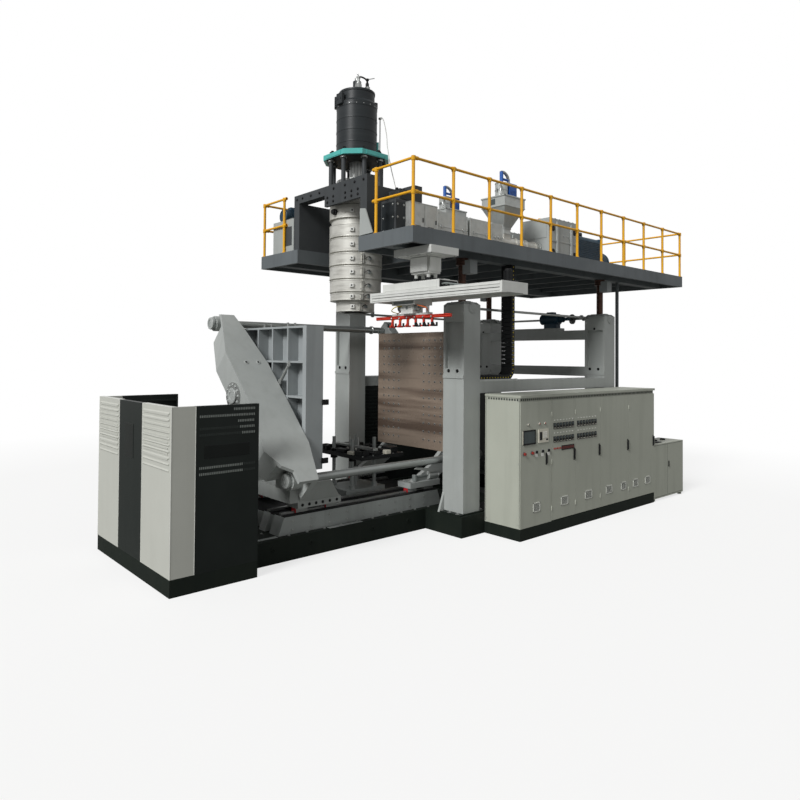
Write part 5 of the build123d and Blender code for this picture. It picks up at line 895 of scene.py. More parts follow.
# platform: handrail sleeves and feet, stop blocks under the deck, plate seams
deck = {"top": 4.736, "railX": (-0.590, 7.875), "railY": 2.024, "posts": 11, "levels": (5.236, 5.716),
        "gateY": (-1.215, 1.345), "endY": (-0.690, 0.690), "sleeveX": (-0.545, 7.83), "seamPitch": 0.8475}
sidePosts = lattice(np.linspace(*deck["railX"], deck["posts"]), [-deck["railY"], deck["railY"]]).tolist()
crossPosts = [(deck["railX"][0], y) for y in deck["gateY"]] + [(deck["railX"][1], y) for y in deck["endY"]]
allPosts = sidePosts + crossPosts
tee = [(0.0243, -0.042), (0.031, -0.042), (0.033, -0.036), (0.033, 0.022), (0.028, 0.026), (0.0243, 0.026),
       (0.0243, -0.042)]
flat = [(0.0203, -0.045), (0.0265, -0.045), (0.0285, -0.040), (0.0285, 0.040), (0.0265, 0.045), (0.0203, 0.045),
        (0.0203, -0.045)]
sleeves = []
for level in deck["levels"]:
    # upright sleeves on the posts, and level ones where a rail meets its post
    sleeves.append(turned(tee, [(x, y, level) for x, y in allPosts], plusZ, 14))
    sleeves.append(turned(flat, [(np.clip(x, *deck["sleeveX"]), y, level) for x, y in sidePosts], plusX, 14))
    sleeves.append(turned(flat, [(x, y - np.sign(y) * 0.03 * (abs(y) > 1), level) for x, y in crossPosts],
                          plusY, 14))
addPiece("handrailFittings", sleeves, "platform", "enamelSafetyYellow")
railFoot = [(0.0243, 0), (0.039, 0), (0.039, 0.008), (0.031, 0.012), (0.0243, 0.020), (0.0243, 0)]
addPiece("handrailFeet", [turned(railFoot, [(x, y, deck["top"] - 0.0005) for x, y in allPosts], plusZ, 20)],
         "platform", "enamelSafetyYellow")
addBoxes("liftStopBlocks", "platform", "enamelPlatenGrey", 0.006,
         mirrored([(x + 0.11, x + 0.29, 1.51, 1.69, 4.235, 4.460) for x in (0.925, 5.19)]))
addBoxes("deckPlateSeams", "platform", "nylonBlack", 0.0008,
         mirrored([(x - 0.003, x + 0.003, 1.15, 1.97, 4.7345, 4.7375)
                   for x in np.arange(0.45, 7.8, deck["seamPitch"])]))
print("platform dressed")

# junction boxes on the deck in front of the valve block
junction = {"spans": ((-0.093, 0.219), (0.225, 0.510)), "low": 4.790, "high": 5.240}
seams, handles, vents = [(-0.0975, -0.092, -1.443, -1.347, junction["low"], junction["high"])], [], []
for low, high in junction["spans"]:
    seams += [(low + 0.014, high - 0.014, -1.4545, -1.449, junction["low"], junction["high"]),
              (low - 0.004, high + 0.002, -1.455, -1.336, 5.2665, 5.278)]
    handles.append((high - 0.050, high - 0.034, -1.466, -1.453, 4.975, 5.045))
    vents += [(low + 0.06, high - 0.09, -1.4565, -1.4535, z, z + 0.008) for z in np.arange(4.84, 4.92, 0.018)]
addBoxes("junctionBoxDoors", "platform", "galvanisedSheet", 0.003, seams)
addBoxes("junctionBoxHandles", "platform", "nylonBlack", 0.005, handles)
addBoxes("junctionBoxVents", "platform", "nylonBlack", 0.001, vents)

# extruders: cover seams, vents, latches, fans, collars and bolts; a run is a cover's start and end
extruder = {"y": (-0.750, 0.750), "axis": 5.1, "runs": ((0.93, 1.69), (1.76, 2.30), (2.36, 2.68)),
            "coverHalf": 0.306, "slotPitch": 0.035, "collarX": (0.86, 1.725, 2.33, 2.76, 3.40, 3.72, 4.02),
            "fanTop": 5.358}
covers = [(x0, x1, y) for y in extruder["y"] for x0, x1 in extruder["runs"]]
bands, slots, latches, screws = [], [], [], {-1: [], 1: []}
for x0, x1, y in covers:
    low, high = y - extruder["coverHalf"], y + extruder["coverHalf"]
    bands += [(x0 - 0.004, x0 + 0.016, low, high, 4.850, 5.351),
              (x1 - 0.016, x1 + 0.004, low, high, 4.850, 5.351), (x0, x1, low, low + 0.008, 5.085, 5.105),
              (x0, x1, high - 0.008, high, 5.085, 5.105),
              (x0 + 0.05, x1 - 0.05, y - 0.060, y + 0.060, 5.344, 5.358)]
    slotX = x0 + 0.06 + extruder["slotPitch"] * np.arange(int((x1 - x0 - 0.12) / extruder["slotPitch"]))
    for side in bothSides:
        slots += [(x, x + 0.012, y + side * 0.301 - 0.0025, y + side * 0.301 + 0.0025, 4.90, 5.03)
                  for x in slotX]
        latches += [about(x, y + side * 0.308, 5.095, 0.012, 0.010, 0.035) for x in (x0 + 0.10, x1 - 0.10)]
        screws[side] += [(x, y + side * 0.2998, z) for x in (x0 + 0.035, x1 - 0.035)
                         for z in (4.89, 5.06, 5.13, 5.31)]
addBoxes("barrelCoverBands", "platform", "galvanisedSheet", 0.003, bands)
addBoxes("barrelCoverSlots", "platform", "nylonBlack", 0.001, slots)
addBoxes("barrelCoverLatches", "platform", "machinedSteel", 0.004, latches)
for side, name in ((-1, "barrelCoverScrewsNear"), (1, "barrelCoverScrewsFar")):
    addBolts(name, "platform", "machinedSteel", (screws[side], (0, side, 0), 0.006))
fanMouth = [(0, 0), (0.085, 0), (0.085, 0.034), (0.078, 0.040), (0.060, 0.040), (0.056, 0.012), (0, 0.012)]
fans = [((x0 + x1) / 2, y, extruder["fanTop"]) for x0, x1, y in covers]
addPiece("barrelFanMouths", [turned(fanMouth, fans, plusZ, 28)], "platform", "castIronGrey")
addPiece("barrelFanGuards", [grille((x, y, z + 0.041), plusZ, 0.074, 4) for x, y, z in fans], "platform",
         "machinedSteel")
collarBand = [(0.109, -0.030), (0.128, -0.030), (0.131, -0.024), (0.131, 0.024), (0.128, 0.030), (0.109, 0.030),
              (0.109, -0.030)]
addPiece("barrelCollars", [turned(collarBand, lattice(extruder["collarX"], extruder["y"], [extruder["axis"]]),
                                  plusX, 40)], "platform", "stainlessBand")
addBolts("barrelFlangeBolts", "platform", "machinedSteel",
         *((ringOf((4.0805, y, extruder["axis"]), 0.143, 10, plusX), minusX, 0.012) for y in extruder["y"]))

# hoppers, receivers and loaders, drawn for one extruder at y = 0 and moved to each
hopper = {"rims": mirrored([(2.756, 3.404, 0.276, 0.294, 5.925, 5.952),
                            (2.765, 3.395, 0.277, 0.288, 5.742, 5.762)])
          + [(2.756, 2.776, -0.294, 0.294, 5.925, 5.952), (3.384, 3.404, -0.294, 0.294, 5.925, 5.952),
             (2.762, 2.774, -0.285, 0.285, 5.742, 5.762), (3.386, 3.398, -0.285, 0.285, 5.742, 5.762),
             (2.970, 3.190, -0.110, 0.110, 5.250, 5.272), (2.968, 3.192, -0.112, 0.112, 5.350, 5.366)],
          "glass": [(2.766, 2.771, -0.05, 0.05, 5.79, 5.90)],
          "latch": [(2.863, 2.887, -0.012, 0.012, 6.07, 6.13)],
          "vents": mirrored([(3.142, 3.358, 0.108, 0.116, z, z + 0.010) for z in np.arange(5.98, 6.12, 0.022)]),
          "lid": [(3.136, 3.364, -0.116, 0.116, 6.238, 6.256)], "bandLevels": (5.952, 6.09, 6.225),
          "suction": [(3.02, 0, 6.470), (3.05, 0, 6.475), (3.12, 0, 6.470), (3.20, 0, 6.420), (3.235, 0, 6.34),
                      (3.25, 0, 6.27)],
          "drop": [(2.925, -0.07, 6.16), (2.84, -0.12, 6.17), (2.79, -0.16, 6.08), (2.785, -0.18, 5.97)]}


def onExtruders(ranges):
    # box ranges given round y = 0, moved to both extruders
    return [(x0, x1, y + y0, y + y1, z0, z1) for y in extruder["y"] for x0, x1, y0, y1, z0, z1 in ranges]


addBoxes("hopperRims", "platform", "galvanisedSheet", 0.003, onExtruders(hopper["rims"]))
addBoxes("hopperSightGlasses", "platform", "screenGlass", 0.002, onExtruders(hopper["glass"]))
receiverBand = [(0.119, 0), (0.1265, 0.004), (0.1265, 0.020), (0.119, 0.024), (0.119, 0)]
addPiece("receiverBands", [turned(receiverBand, lattice([3.020], extruder["y"], hopper["bandLevels"]),
                                  plusZ, 36)], "platform", "machinedSteel")
addBoxes("receiverLatches", "platform", "machinedSteel", 0.003, onExtruders(hopper["latch"]))
addBoxes("loaderVents", "platform", "enamelLoaderBlue", 0.002, onExtruders(hopper["vents"]))
addPiece("loaderLids", [boxes(onExtruders(hopper["lid"]), 0.006),
                        turned(cap(0.040, 0.030, 0.040, 0.010), lattice([3.30], extruder["y"], [6.250]),
                               plusZ, 20)], "platform", "enamelLoaderBlue", False)
addPiece("loaderPipes", [pipe(np.array(hopper[run]) + (0, y, 0), radius, count) for y in extruder["y"]
                         for run, radius, count in (("suction", 0.030, 14), ("drop", 0.020, 12))],
         "platform", "machinedSteel")
addPiece("loaderPipeClamps", [turned(band(0.031, 0.038, 0.012), lattice([3.25], extruder["y"], [6.275]),
                                     plusZ, 16)], "platform", "lampRed")

# extruder gearboxes: cover plates, port caps, bolts and breathers
gearbox = {"face": 0.343, "top": 5.6995, "ports": lattice([4.26, 5.04], [5.50, 5.02])}
addBoxes("extruderGearPlates", "platform", "enamelMachineGrey", 0.004, onExtruders(
    mirrored([(4.42, 4.82, gearbox["face"] - 0.006, gearbox["face"] + 0.006, 4.95, 5.40),
              (4.14, 5.17, gearbox["face"] - 0.012, gearbox["face"] + 0.012, 5.228, 5.262)])
    + [(4.112, 4.119, -0.28, 0.28, 5.30, 5.62), (4.30, 5.00, -0.20, 0.20, 5.699, 5.716)]))
faces = [(y, side) for y in extruder["y"] for side in bothSides]
addPiece("extruderGearPorts", [turned(cap(0.062, 0.008, 0.012, 0.012),
                                      [(x, y + side * 0.3395, z) for x, z in gearbox["ports"]],
                                      (0, side, 0), 24) for y, side in faces], "platform", "nylonBlack")
addBolts("extruderGearBolts", "platform", "machinedSteel",
         *((lattice([4.45, 4.62, 4.79], [y + side * 0.349], [4.98, 5.37]), (0, side, 0), 0.012)
           for y, side in faces),
         *((lattice(np.arange(4.18, 5.16, 0.16), [y + side * 0.330], [gearbox["top"]]), plusZ, 0.014)
           for y, side in faces))
breather = [(0, 0), (0.022, 0), (0.022, 0.030), (0.034, 0.034), (0.034, 0.060), (0.024, 0.068), (0, 0.068)]
addPiece("extruderGearBreathers", [turned(breather, [(4.42, y + 0.1, 5.715) for y in extruder["y"]], plusZ, 18),
                                   turned(disc(0.020, 0.040), [(4.9, y - 0.1, 5.715) for y in extruder["y"]],
                                          plusZ, 6)], "platform", "enamelSafetyYellow")

# motors: ribs on the sides and the top, end shields, fan guards and glands
motor = {"axis": 5.026, "ribs": np.arange(13) * 0.0383 - 0.23, "ribsFrom": 5.156, "glandX": (5.34, 5.44, 5.54),
         "fanBandX": (6.14, 6.35, 6.56)}
sideRibs = [about(5.65, 0.333, motor["ribsFrom"] + rib, 0.39, 0.008, 0.006) for rib in motor["ribs"]]
topRibs = [about(5.86, rib, 5.486, 0.18, 0.006, 0.008) for rib in motor["ribs"]]
addBoxes("mainMotorRibs", "platform", "enamelMotorBlue", 0.002, onExtruders(mirrored(sideRibs) + topRibs))
addBoxes("mainMotorEndShields", "platform", "enamelMotorBlue", 0.016, onExtruders(
    [(5.20, 5.245, -0.335, 0.335, 4.84, 5.492), (6.05, 6.095, -0.335, 0.335, 4.84, 5.492),
     (5.275, 5.615, -0.150, 0.150, 5.594, 5.606)]))
addPiece("mainMotorFanGuards", [grille((6.6115, y, motor["axis"]), plusX, 0.235, 8) for y in extruder["y"]],
         "platform", "machinedSteel")
addPiece("mainMotorFanBands", [turned(band(0.249, 0.258, 0.012), lattice(motor["fanBandX"], extruder["y"],
                                                                         [motor["axis"]]), plusX, 44)],
         "platform", "enamelMotorBlue")
addPiece("mainMotorGlands", [turned(cap(0.022, 0.030, 0.034, 0.008),
                                    [(x, y - 0.1595, 5.54) for y in extruder["y"] for x in motor["glandX"]],
                                    minusY, 10)], "platform", "nylonBlack")
addPiece("pumpMotorRibs", [finned((-0.34, 1.636, 5.480), (-0.10, 1.636, 5.480), 0.132, 0.014, 26),
                           boxes([(-0.30, -0.16, 1.580, 1.692, 5.590, 5.660)], 0.010)],
         "platform", "enamelMotorBlue", False)
addPiece("pumpMotorCowl", [turned([(0, 0.0), (0.120, 0.0), (0.128, 0.006), (0.128, 0.075), (0, 0.075)],
                                  [(-0.432, 1.636, 5.480)], plusX, 32)], "platform", "enamelMotorBlue")

# oil tank behind the head and the valve block in front of it
addBoxes("oilTankPlates", "platform", "enamelCharcoal", 0.005,
         [(-0.566, -0.559, 1.14, 1.40, 4.86, 5.20), (-0.50, -0.36, 1.20, 1.36, 5.335, 5.375),
          (0.02, 0.10, 1.16, 1.44, 5.524, 5.552), (0.12, 0.20, 1.16, 1.44, 5.524, 5.552)])
tankPipe = [(0.04, 1.16, 5.44), (0.04, 1.10, 5.45), (0.06, 1.06, 5.40), (0.06, 1.05, 5.10), (0.08, 1.045, 4.80)]
tankTubes = []
for number in range(4):  # every second pipe leaves the tank 30 mm higher
    knots = np.array(tankPipe) + (0.06 * number, 0, 0)
    knots[0, 2] += 0.03 * (number % 2)
    tankTubes.append(pipe(knots, 0.010, 8, 6))
addPiece("oilTankPipes", tankTubes, "platform", "galvanisedSheet")
addBoxes("headValveShell", "platform", "enamelCharcoal", 0.006,
         [(-0.304, 0.424, -1.3385, -1.001, 4.735, 5.300), (-0.184, 0.204, -1.289, -1.041, 5.295, 5.470)])
addBoxes("headValvePlates", "platform", "enamelCylinderBlack", 0.003,
         [(-0.310, -0.303, -1.31, -1.03, 4.78, 5.26), (-0.290, -0.110, -1.345, -1.338, 4.78, 5.26),
          (-0.14, 0.16, -1.296, -1.288, 5.33, 5.44)])
addBolts("headValveBolts", "platform", "machinedSteel",
         (lattice([-0.3095], [-1.28, -1.06], [4.82, 5.02, 5.22]), minusX, 0.012),
         (lattice([-0.265, -0.135], [-1.3445], [4.82, 5.02, 5.22]), minusY, 0.012))
addPiece("headValveCoils", [turned(cap(0.026, 0.055, 0.060, 0.008),
                                   [(x, -1.165, 5.4695) for x in (-0.12, -0.05, 0.02, 0.09, 0.16)], plusZ, 14)],
         "platform", "nylonBlack")
print("deck machines dressed")

# take-out robot: pillar rods, beam rails, drive, carriage, jaws and hoses
robot = {"y": -1.700, "beamX": 0.278, "beamTop": 3.8695, "beamY": (-3.33, -0.77), "endY": (-3.3625, -0.7275),
         "railLevels": (3.742, 3.828), "drive": (0.02, -3.24), "gripY": -1.400, "fingers": (0.08, 0.3, 0.52),
         "boxPipes": ((-0.14, 0.012), (-0.06, 0.010), (0.03, 0.012), (0.12, 0.010)),
         "orange": [[(-0.10, -1.62, 3.655), (-0.17, -1.72, 3.640), (-0.15, -1.86, 3.60), (-0.06, -1.80, 3.556)],
                    [(0.10, -1.20, 3.64), (0.16, -1.08, 3.62), (0.12, -1.00, 3.58), (0.04, -1.02, 3.548)]],
         "yellow": [(-0.12, -1.30, 3.652), (-0.178, -1.20, 3.63), (-0.15, -1.10, 3.58), (-0.05, -1.12, 3.548)]}
addPiece("robotRodSleeves", [turned(collar(0.0285, 0.048, 0.050, 0.058, 0.008),
                                    [(x, robot["y"] + y, 4.0) for x in (-0.075, 0.075)
                                     for y in (-0.130, 0.130)], plusZ, 20)], "robot_beam", "nylonBlack")
addBolts("robotSlabBolts", "platform", "machinedSteel",
         (lattice([-0.27, 0.27], [-2.06, -1.82, -1.58, -1.34], [4.3895]), minusZ, 0.016))
addBoxes("robotPillarPlates", "platform", "enamelRobotWhite", 0.003,
         [(-0.158, -0.149, -1.88, -1.52, 4.15, 4.36), (-0.12, 0.12, -1.908, -1.899, 4.15, 4.36),
          (-0.20, 0.20, -1.93, -1.47, 4.372, 4.392)])
addBoxes("robotBeamRails", "robot_beam", "enamelRobotWhite", 0.002,
         [(x - 0.004, x + 0.004, *robot["beamY"], z, z + 0.014) for x in (-robot["beamX"], robot["beamX"])
          for z in robot["railLevels"]]
         + [(-0.279, 0.279, y - 0.007, y + 0.007, 3.727, 3.874) for y in robot["endY"]]
         + [(-0.06, 0.06, -2.14, -0.97, 3.999, 4.012), (-0.205, -0.199, -2.12, -0.99, 3.89, 3.98)])
addBoxes("robotBeamSeams", "robot_beam", "nylonBlack", 0.001,
         [(x - 0.002, x + 0.002, *robot["beamY"], 3.782, 3.790) for x in (-0.2765, 0.2765)]
         + [(x - 0.01, x + 0.01, -3.30, -2.22, 3.8695, 3.8725) for x in (-0.11, 0.11)])
addBolts("robotBeamBolts", "robot_beam", "machinedSteel",
         (lattice([-0.235, 0.235], np.arange(-3.28, -0.75, 0.28), [robot["beamTop"]]), plusZ, 0.010))
addBoxes("robotBoxMouth", "robot_beam", "nylonBlack", 0.002, [(-0.188, 0.188, -2.1745, -2.169, 3.882, 3.988)])
addPiece("robotBoxPipes", [pipe([(x, -2.16, 3.93), (x, -2.26, 3.935), (x + 0.02, -2.42, 3.905),
                                 (x + 0.01, -2.60, 3.884)], radius) for x, radius in robot["boxPipes"]],
         "robot_beam", "castIronGrey")
addPiece("robotDriveMotor", [finned((*robot["drive"], 3.871), (*robot["drive"], 4.03), 0.062, 0.008, 18),
                             turned(cap(0.050, 0.022, 0.030, 0.014), [(*robot["drive"], 4.028)], plusZ, 22),
                             boxes([(-0.07, 0.11, -3.33, -3.15, 3.868, 3.90)], 0.008)],
         "robot_beam", "nylonBlack", False)
addPiece("robotCarriageFittings", [boxes([(-0.186, -0.182, -1.62, -1.18, 3.670, 3.714),
                                          (0.060, 0.150, -1.56, -1.24, 3.625, 3.662)], 0.004),
                                   turned(band(0.046, 0.056, 0.02),
                                          [(-0.06, y, 3.62) for y in (-1.585, -1.40, -1.215)], plusY, 24)],
         "robot_carriage", "castIronGrey", False)
addPiece("robotSlideRod", [swept([(-0.06, -1.80, 3.62), (-0.06, -1.60, 3.62)], 0.014, 12),
                           boxes([(-0.09, -0.03, -1.815, -1.790, 3.535, 3.640)], 0.004)],
         "robot_carriage", "machinedSteel", False)
for side, body, slantFinish in ((-1, "gripper_jaw_near", "nylonBlack"), (1, "gripper_jaw_far", "moldedOrange")):
    start, end = sorted((robot["gripY"] + side * 0.030, robot["gripY"] + side * 0.820))
    addBoxes(body + "Plates", body, "enamelClawRed", 0.003, [(-0.030, 0.030, start, end, 3.492, 3.5065)])
    fingerY = [robot["gripY"] + side * (0.025 + 0.8 * share) for share in robot["fingers"]]
    addPiece(body + "Slants", [swept([(0, y - side * 0.050, 3.478), (0, y + side * 0.045, 3.352)], 0.010, 8)
                               for y in fingerY], body, slantFinish)
    addBoxes(body + "Claws", body, "rubberBlack", 0.003,
             [part for y in fingerY for part in (about(0, y + side * 0.045, 3.341, 0.060, 0.015, 0.011),
                                                 about(-0.052, y + side * 0.045, 3.361, 0.008, 0.017, 0.031),
                                                 about(0.052, y + side * 0.045, 3.361, 0.008, 0.017, 0.031))])
    addBolts(body + "Joints", body, "machinedSteel", ([(-0.028, y, 3.475) for y in fingerY], minusX, 0.011))
addPiece("robotAirLinesOrange", [pipe(knots, 0.008) for knots in robot["orange"]], "robot_carriage",
         "moldedOrange")
addPiece("robotAirLineYellow", [pipe(robot["yellow"], 0.007)], "robot_carriage", "nylonYellow")
print("robot dressed")

# cable chain: side plates and bars along the route, yellow pins at the joints; its route runs level from the
# cabinet, turns up round the bend and rises to the deck
chain = {"y": -1.5225, "start": 1.300, "bendX": 2.080, "bendZ": 2.680, "radius": 0.160, "topZ": 4.500,
         "pitch": 0.072, "half": 0.046, "bendLinks": 4, "riseLinks": 25, "cableY": (-1.585, -1.535, -1.485),
         "stretch": (2.75, 4.40)}
levelX = np.arange(chain["start"] + 0.02, chain["bendX"], chain["pitch"])
bendTurn = np.linspace(-1.40, -0.12, chain["bendLinks"])
bendPlace = np.array([chain["bendX"], chain["bendZ"]])
riseX, levelZ = chain["bendX"] + chain["radius"], chain["bendZ"] - chain["radius"]
riseZ = np.linspace(chain["bendZ"] + 0.05, chain["topZ"] - 0.045, chain["riseLinks"])
route = np.concatenate([np.stack([levelX, np.full(len(levelX), levelZ)], 1),
                        bendPlace + chain["radius"] * np.stack([np.cos(bendTurn), np.sin(bendTurn)], 1),
                        np.stack([np.full(len(riseZ), riseX), riseZ], 1)])
heading = np.gradient(route, axis=0)
heading /= np.linalg.norm(heading, axis=1)[:, None]


def inChain(x, z, y=0.0):
    # x and z of the chain's plane at a given y
    return np.stack([x, np.full(len(x), y), z], 1)


linkTurn = (inChain(*route.T, chain["y"]), inChain(*heading.T), inChain(-heading[:, 1], heading[:, 0]))
linkShape = boxes(mirrored([(-0.035, 0.035, 0.101, 0.115, -chain["half"], chain["half"])])
                  + [(-0.0335, 0.0335, -0.104, 0.104, z - 0.005, z + 0.005) for z in (-0.040, 0.040)], 0.005)
pinShape = joined([turned(disc(0.011, 0.003), [(0, side * 0.1148, 0)], (0, side, 0), 10) for side in bothSides])
cableRun = np.concatenate([[[chain["start"], levelZ]], route, [[riseX, chain["topZ"] - 0.002]]])
chainLinks = addPiece("cableChainLinks", [repeated(linkShape, *linkTurn)], "base", "nylonBlack", False,
                      ride=False)
chainPins = addPiece("cableChainPins", [repeated(pinShape, *linkTurn)], "base", "nylonYellow", ride=False)
chainCables = addPiece("cableChainBundle", [swept(inChain(*cableRun.T, y), 0.020, 8) for y in chain["cableY"]],
                       "base", "rubberBlack", ride=False)
for piece in (chainLinks, chainPins, chainCables):
    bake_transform(piece)
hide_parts("cable_chain")
addBoxes("cableChainTray", "base", "galvanisedSheet", 0.002,
         [(1.285, 2.30, -1.690, -1.682, 2.464, 2.500), (1.285, 2.30, -1.362, -1.354, 2.464, 2.500)])
print("cable chain laid")

# control cabinet: screen, operator unit, lamps, switches and legend plates on the fixed panel
panel = {"face": -2.482, "bezelX": (1.374, 1.702), "bezelZ": (1.490, 1.722), "knobX": (1.740, 1.907, 2.074),
         "stopX": (1.415, 1.620), "lampLevel": 1.806, "redLampX": (1.809, 1.960), "darkLampX": (1.516,),
         "keyX": (1.905, 1.935, 1.965, 1.995), "keyZ": (1.576, 1.602, 1.628, 1.654),
         "buttonX": (2.235, 2.280, 2.325, 2.370, 2.415)}
face = panel["face"]


def onFace(proud, x0, x1, z0, z1, sunk=0.0005):
    # box range on the cabinet's front: how far it stands out, then its sides and its levels
    return x0, x1, face - proud, face + sunk, z0, z1


def framed(proud, wide, tall, x0, x1, z0, z1, sunk):
    # four bars round an opening
    return [onFace(proud, x0, x1, z1 - tall, z1, sunk), onFace(proud, x0, x1, z0, z0 + tall, sunk),
            onFace(proud, x0, x0 + wide, z0, z1, sunk), onFace(proud, x1 - wide, x1, z0, z1, sunk)]


bezels = framed(0.0175, 0.022, 0.024, *panel["bezelX"], *panel["bezelZ"], -0.012)
bezels[1] = onFace(0.0175, *panel["bezelX"], 1.490, 1.516, -0.012)  # the lower bar is 2 mm taller
addBoxes("screenBezel", "base", "nylonBlack", 0.002, bezels)
addBoxes("screenPane", "base", "screenGlass", 0.001, [onFace(0.0150, 1.394, 1.682, 1.512, 1.702, -0.012)])
addBoxes("operatorDisplay", "base", "nylonBlack", 0.002, [onFace(0.0160, 1.812, 1.880, 1.540, 1.672, -0.012),
                                                          onFace(0.0160, 1.985, 2.040, 1.530, 1.556, -0.012)])
addBoxes("operatorKeys", "base", "moldedWhite", 0.002,
         [onFace(0.0172, x, x + 0.022, z, z + 0.016, -0.012) for x, z in lattice(panel["keyX"], panel["keyZ"])])
lampRing = [(0.0165, -0.020), (0.023, -0.020), (0.023, -0.012), (0.0165, -0.010), (0.0165, -0.020)]
lampCap = [(0, 0), (0.0125, 0), (0.0115, 0.003), (0, 0.004)]
for name, profile, proud, finish, places, count in (
        ("lampRings", lampRing, 0.016, "machinedSteel", panel["redLampX"] + panel["darkLampX"], 20),
        ("lampCaps", lampCap, 0.0195, "lampRed", panel["redLampX"], 18),
        ("lampCapDark", lampCap, 0.0195, "nylonBlack", panel["darkLampX"], 18)):
    addPiece(name, [turned(profile, [(x, face - proud, panel["lampLevel"]) for x in places], minusY, count)],
             "base", finish)
addBoxes("knobPlates", "base", "moldedWhite", 0.001,
         [onFace(0.0020, x - 0.035, x + 0.035, 1.277, 1.329, 0.001) for x in panel["knobX"]])
addPiece("knobCollars", [turned(collar(0.0232, 0.031, 0.0035, 0.005, 0.003, -0.0005),
                                [(x, face, 1.359) for x in panel["knobX"]], minusY, 24)], "base",
         "machinedSteel")
addPiece("stopPlates", [turned(collar(0.0135, 0.034, 0.002, 0.002, 0.0),
                               [(x, face - 0.0002, 1.353) for x in panel["stopX"]], minusY, 24)], "base",
         "castIronGrey")
for number, x in enumerate(panel["knobX"], 1):
    addBoxes("knobPointer" + str(number), "selector_knob_" + str(number), "moldedWhite", 0.001,
             [onFace(0.0132, x - 0.003, x + 0.003, 1.361, 1.379, -0.0118)])

# temperature controllers in two rows of seven on each of the first two doors, a dot row above each
controllers = {"rows": (1.690, 1.470), "lampRows": (1.835, 1.625), "perRow": 7,
               "doors": (("cabinet_door_1", "One", 2.200, 2.820), ("cabinet_door_2", "Two", 2.900, 3.545))}
for door, tag, left, right in controllers["doors"]:
    centres = left + (right - left) / controllers["perRow"] * (np.arange(controllers["perRow"]) + 0.5)
    spots = lattice(centres, controllers["rows"])
    addBoxes("controllerBodies" + tag, door, "nylonBlack", 0.003,
             [onFace(0.010, x - 0.033, x + 0.033, z, z + 0.100) for x, z in spots])
    addBoxes("controllerWindows" + tag, door, "screenGlass", 0.001,
             [onFace(0.0115, x - 0.026, x + 0.026, z + 0.056, z + 0.092, -0.009) for x, z in spots])
    addBoxes("controllerKeys" + tag, door, "moldedBeige", 0.001,
             [onFace(0.0118, x + dx - 0.005, x + dx + 0.005, z + 0.010, z + 0.020, -0.009) for x, z in spots
              for dx in (-0.018, 0.0, 0.018)])
    addPiece("controllerLamps" + tag, [turned(cap(0.0095, 0.004, 0.007, 0.0035, -0.001),
                                              lattice(centres, [face], controllers["lampRows"]), minusY, 12)],
             door, "moldedWhite")
addBoxes("displayStrip", "cabinet_door_1", "nylonBlack", 0.003, [onFace(0.008, 2.447, 2.822, 1.327, 1.403)])
addBoxes("displayStripWindow", "cabinet_door_1", "displayRed", 0.001,
         [onFace(0.0095, x, x + 0.060, 1.342, 1.388, -0.007) for x in 2.458 + 0.0725 * np.arange(5)])
addPiece("pushButtons", [turned(cap(0.015, 0.006, 0.009, 0.004, -0.001),
                                [(x, face, 1.368) for x in panel["buttonX"]], minusY, 16)], "cabinet_door_1",
         "lampRed")
print("control panel laid out")

# vents: a pale frame, dark mouth and slanting blades; hinges and handle plates go with their doors
vents = {"low": 0.405, "high": 0.555, "bar": 0.016, "bladePitch": 0.0165,
         "spans": {"base": [(1.655, 1.843)], "cabinet_door_1": [(2.436, 2.643)],
                   "cabinet_door_2": [(3.170, 3.396)],
                   "cabinet_door_3": [(3.868, 4.078), (4.403, 4.588)],
                   "cabinet_door_4": [(4.854, 5.048), (5.327, 5.532)]}}
for body, spans in vents["spans"].items():
    tag = "Fixed" if body == "base" else "Door" + body[-1]
    frames, blades, mouths = [], [], []
    for left, right in spans:
        frames += framed(0.008, vents["bar"], vents["bar"], left, right, vents["low"], vents["high"], 0.0005)
        blades += [onFace(0.0065, left + 0.014, right - 0.014, z, z + 0.006)
                   for z in np.arange(vents["low"] + 0.026, vents["high"] - 0.024, vents["bladePitch"])]
        mouths.append(onFace(0.0012, left + 0.012, right - 0.012, vents["low"] + 0.012, vents["high"] - 0.012))
    addPiece("ventFrames" + tag, [boxes(frames, 0.002), boxes(blades, 0.0015)], body, "ventPale", False)
    addBoxes("ventMouths" + tag, body, "slotShade", 0.0008, mouths)
doors = {"edges": (2.168, 2.867, 3.672, 4.689, 5.698), "hingeLevels": (0.36, 1.12, 1.90), "latchInset": 0.040,
         "hinge": [(0, 0), (0.009, 0), (0.010, 0.003), (0.010, 0.077), (0.009, 0.080), (0, 0.080)]}
for number, (left, right) in enumerate(zip(doors["edges"], doors["edges"][1:]), 1):
    door, latch = "cabinet_door_" + str(number), right - doors["latchInset"]
    addPiece("doorHinges" + str(number), [turned(doors["hinge"],
                                                 [(left, face, z) for z in doors["hingeLevels"]], plusZ, 12)],
             door, "powderCoatCabinet")
    addBoxes("doorLatch" + str(number), door, "nylonBlack", 0.002,
             [onFace(0.003, latch - 0.018, latch + 0.018, 1.128, 1.342),
              onFace(0.0235, latch - 0.0155, latch + 0.0155, 1.1485, 1.3215, -0.002)])
addBoxes("fixedPanelHandle", "base", "nylonBlack", 0.003,
         [onFace(0.022, 1.999, 2.027, 1.150, 1.300), onFace(0.003, 1.994, 2.032, 1.128, 1.322)])
addBoxes("roofSlots", "base", "slotShade", 0.0007,
         [(x, x + 0.030, -2.4612, -2.4595, 2.184, 2.216) for x in np.arange(1.36, 5.64, 0.052)]
         + [(1.3208, 1.3225, y, y + 0.030, 2.184, 2.216) for y in np.arange(-2.44, -1.83, 0.052)])
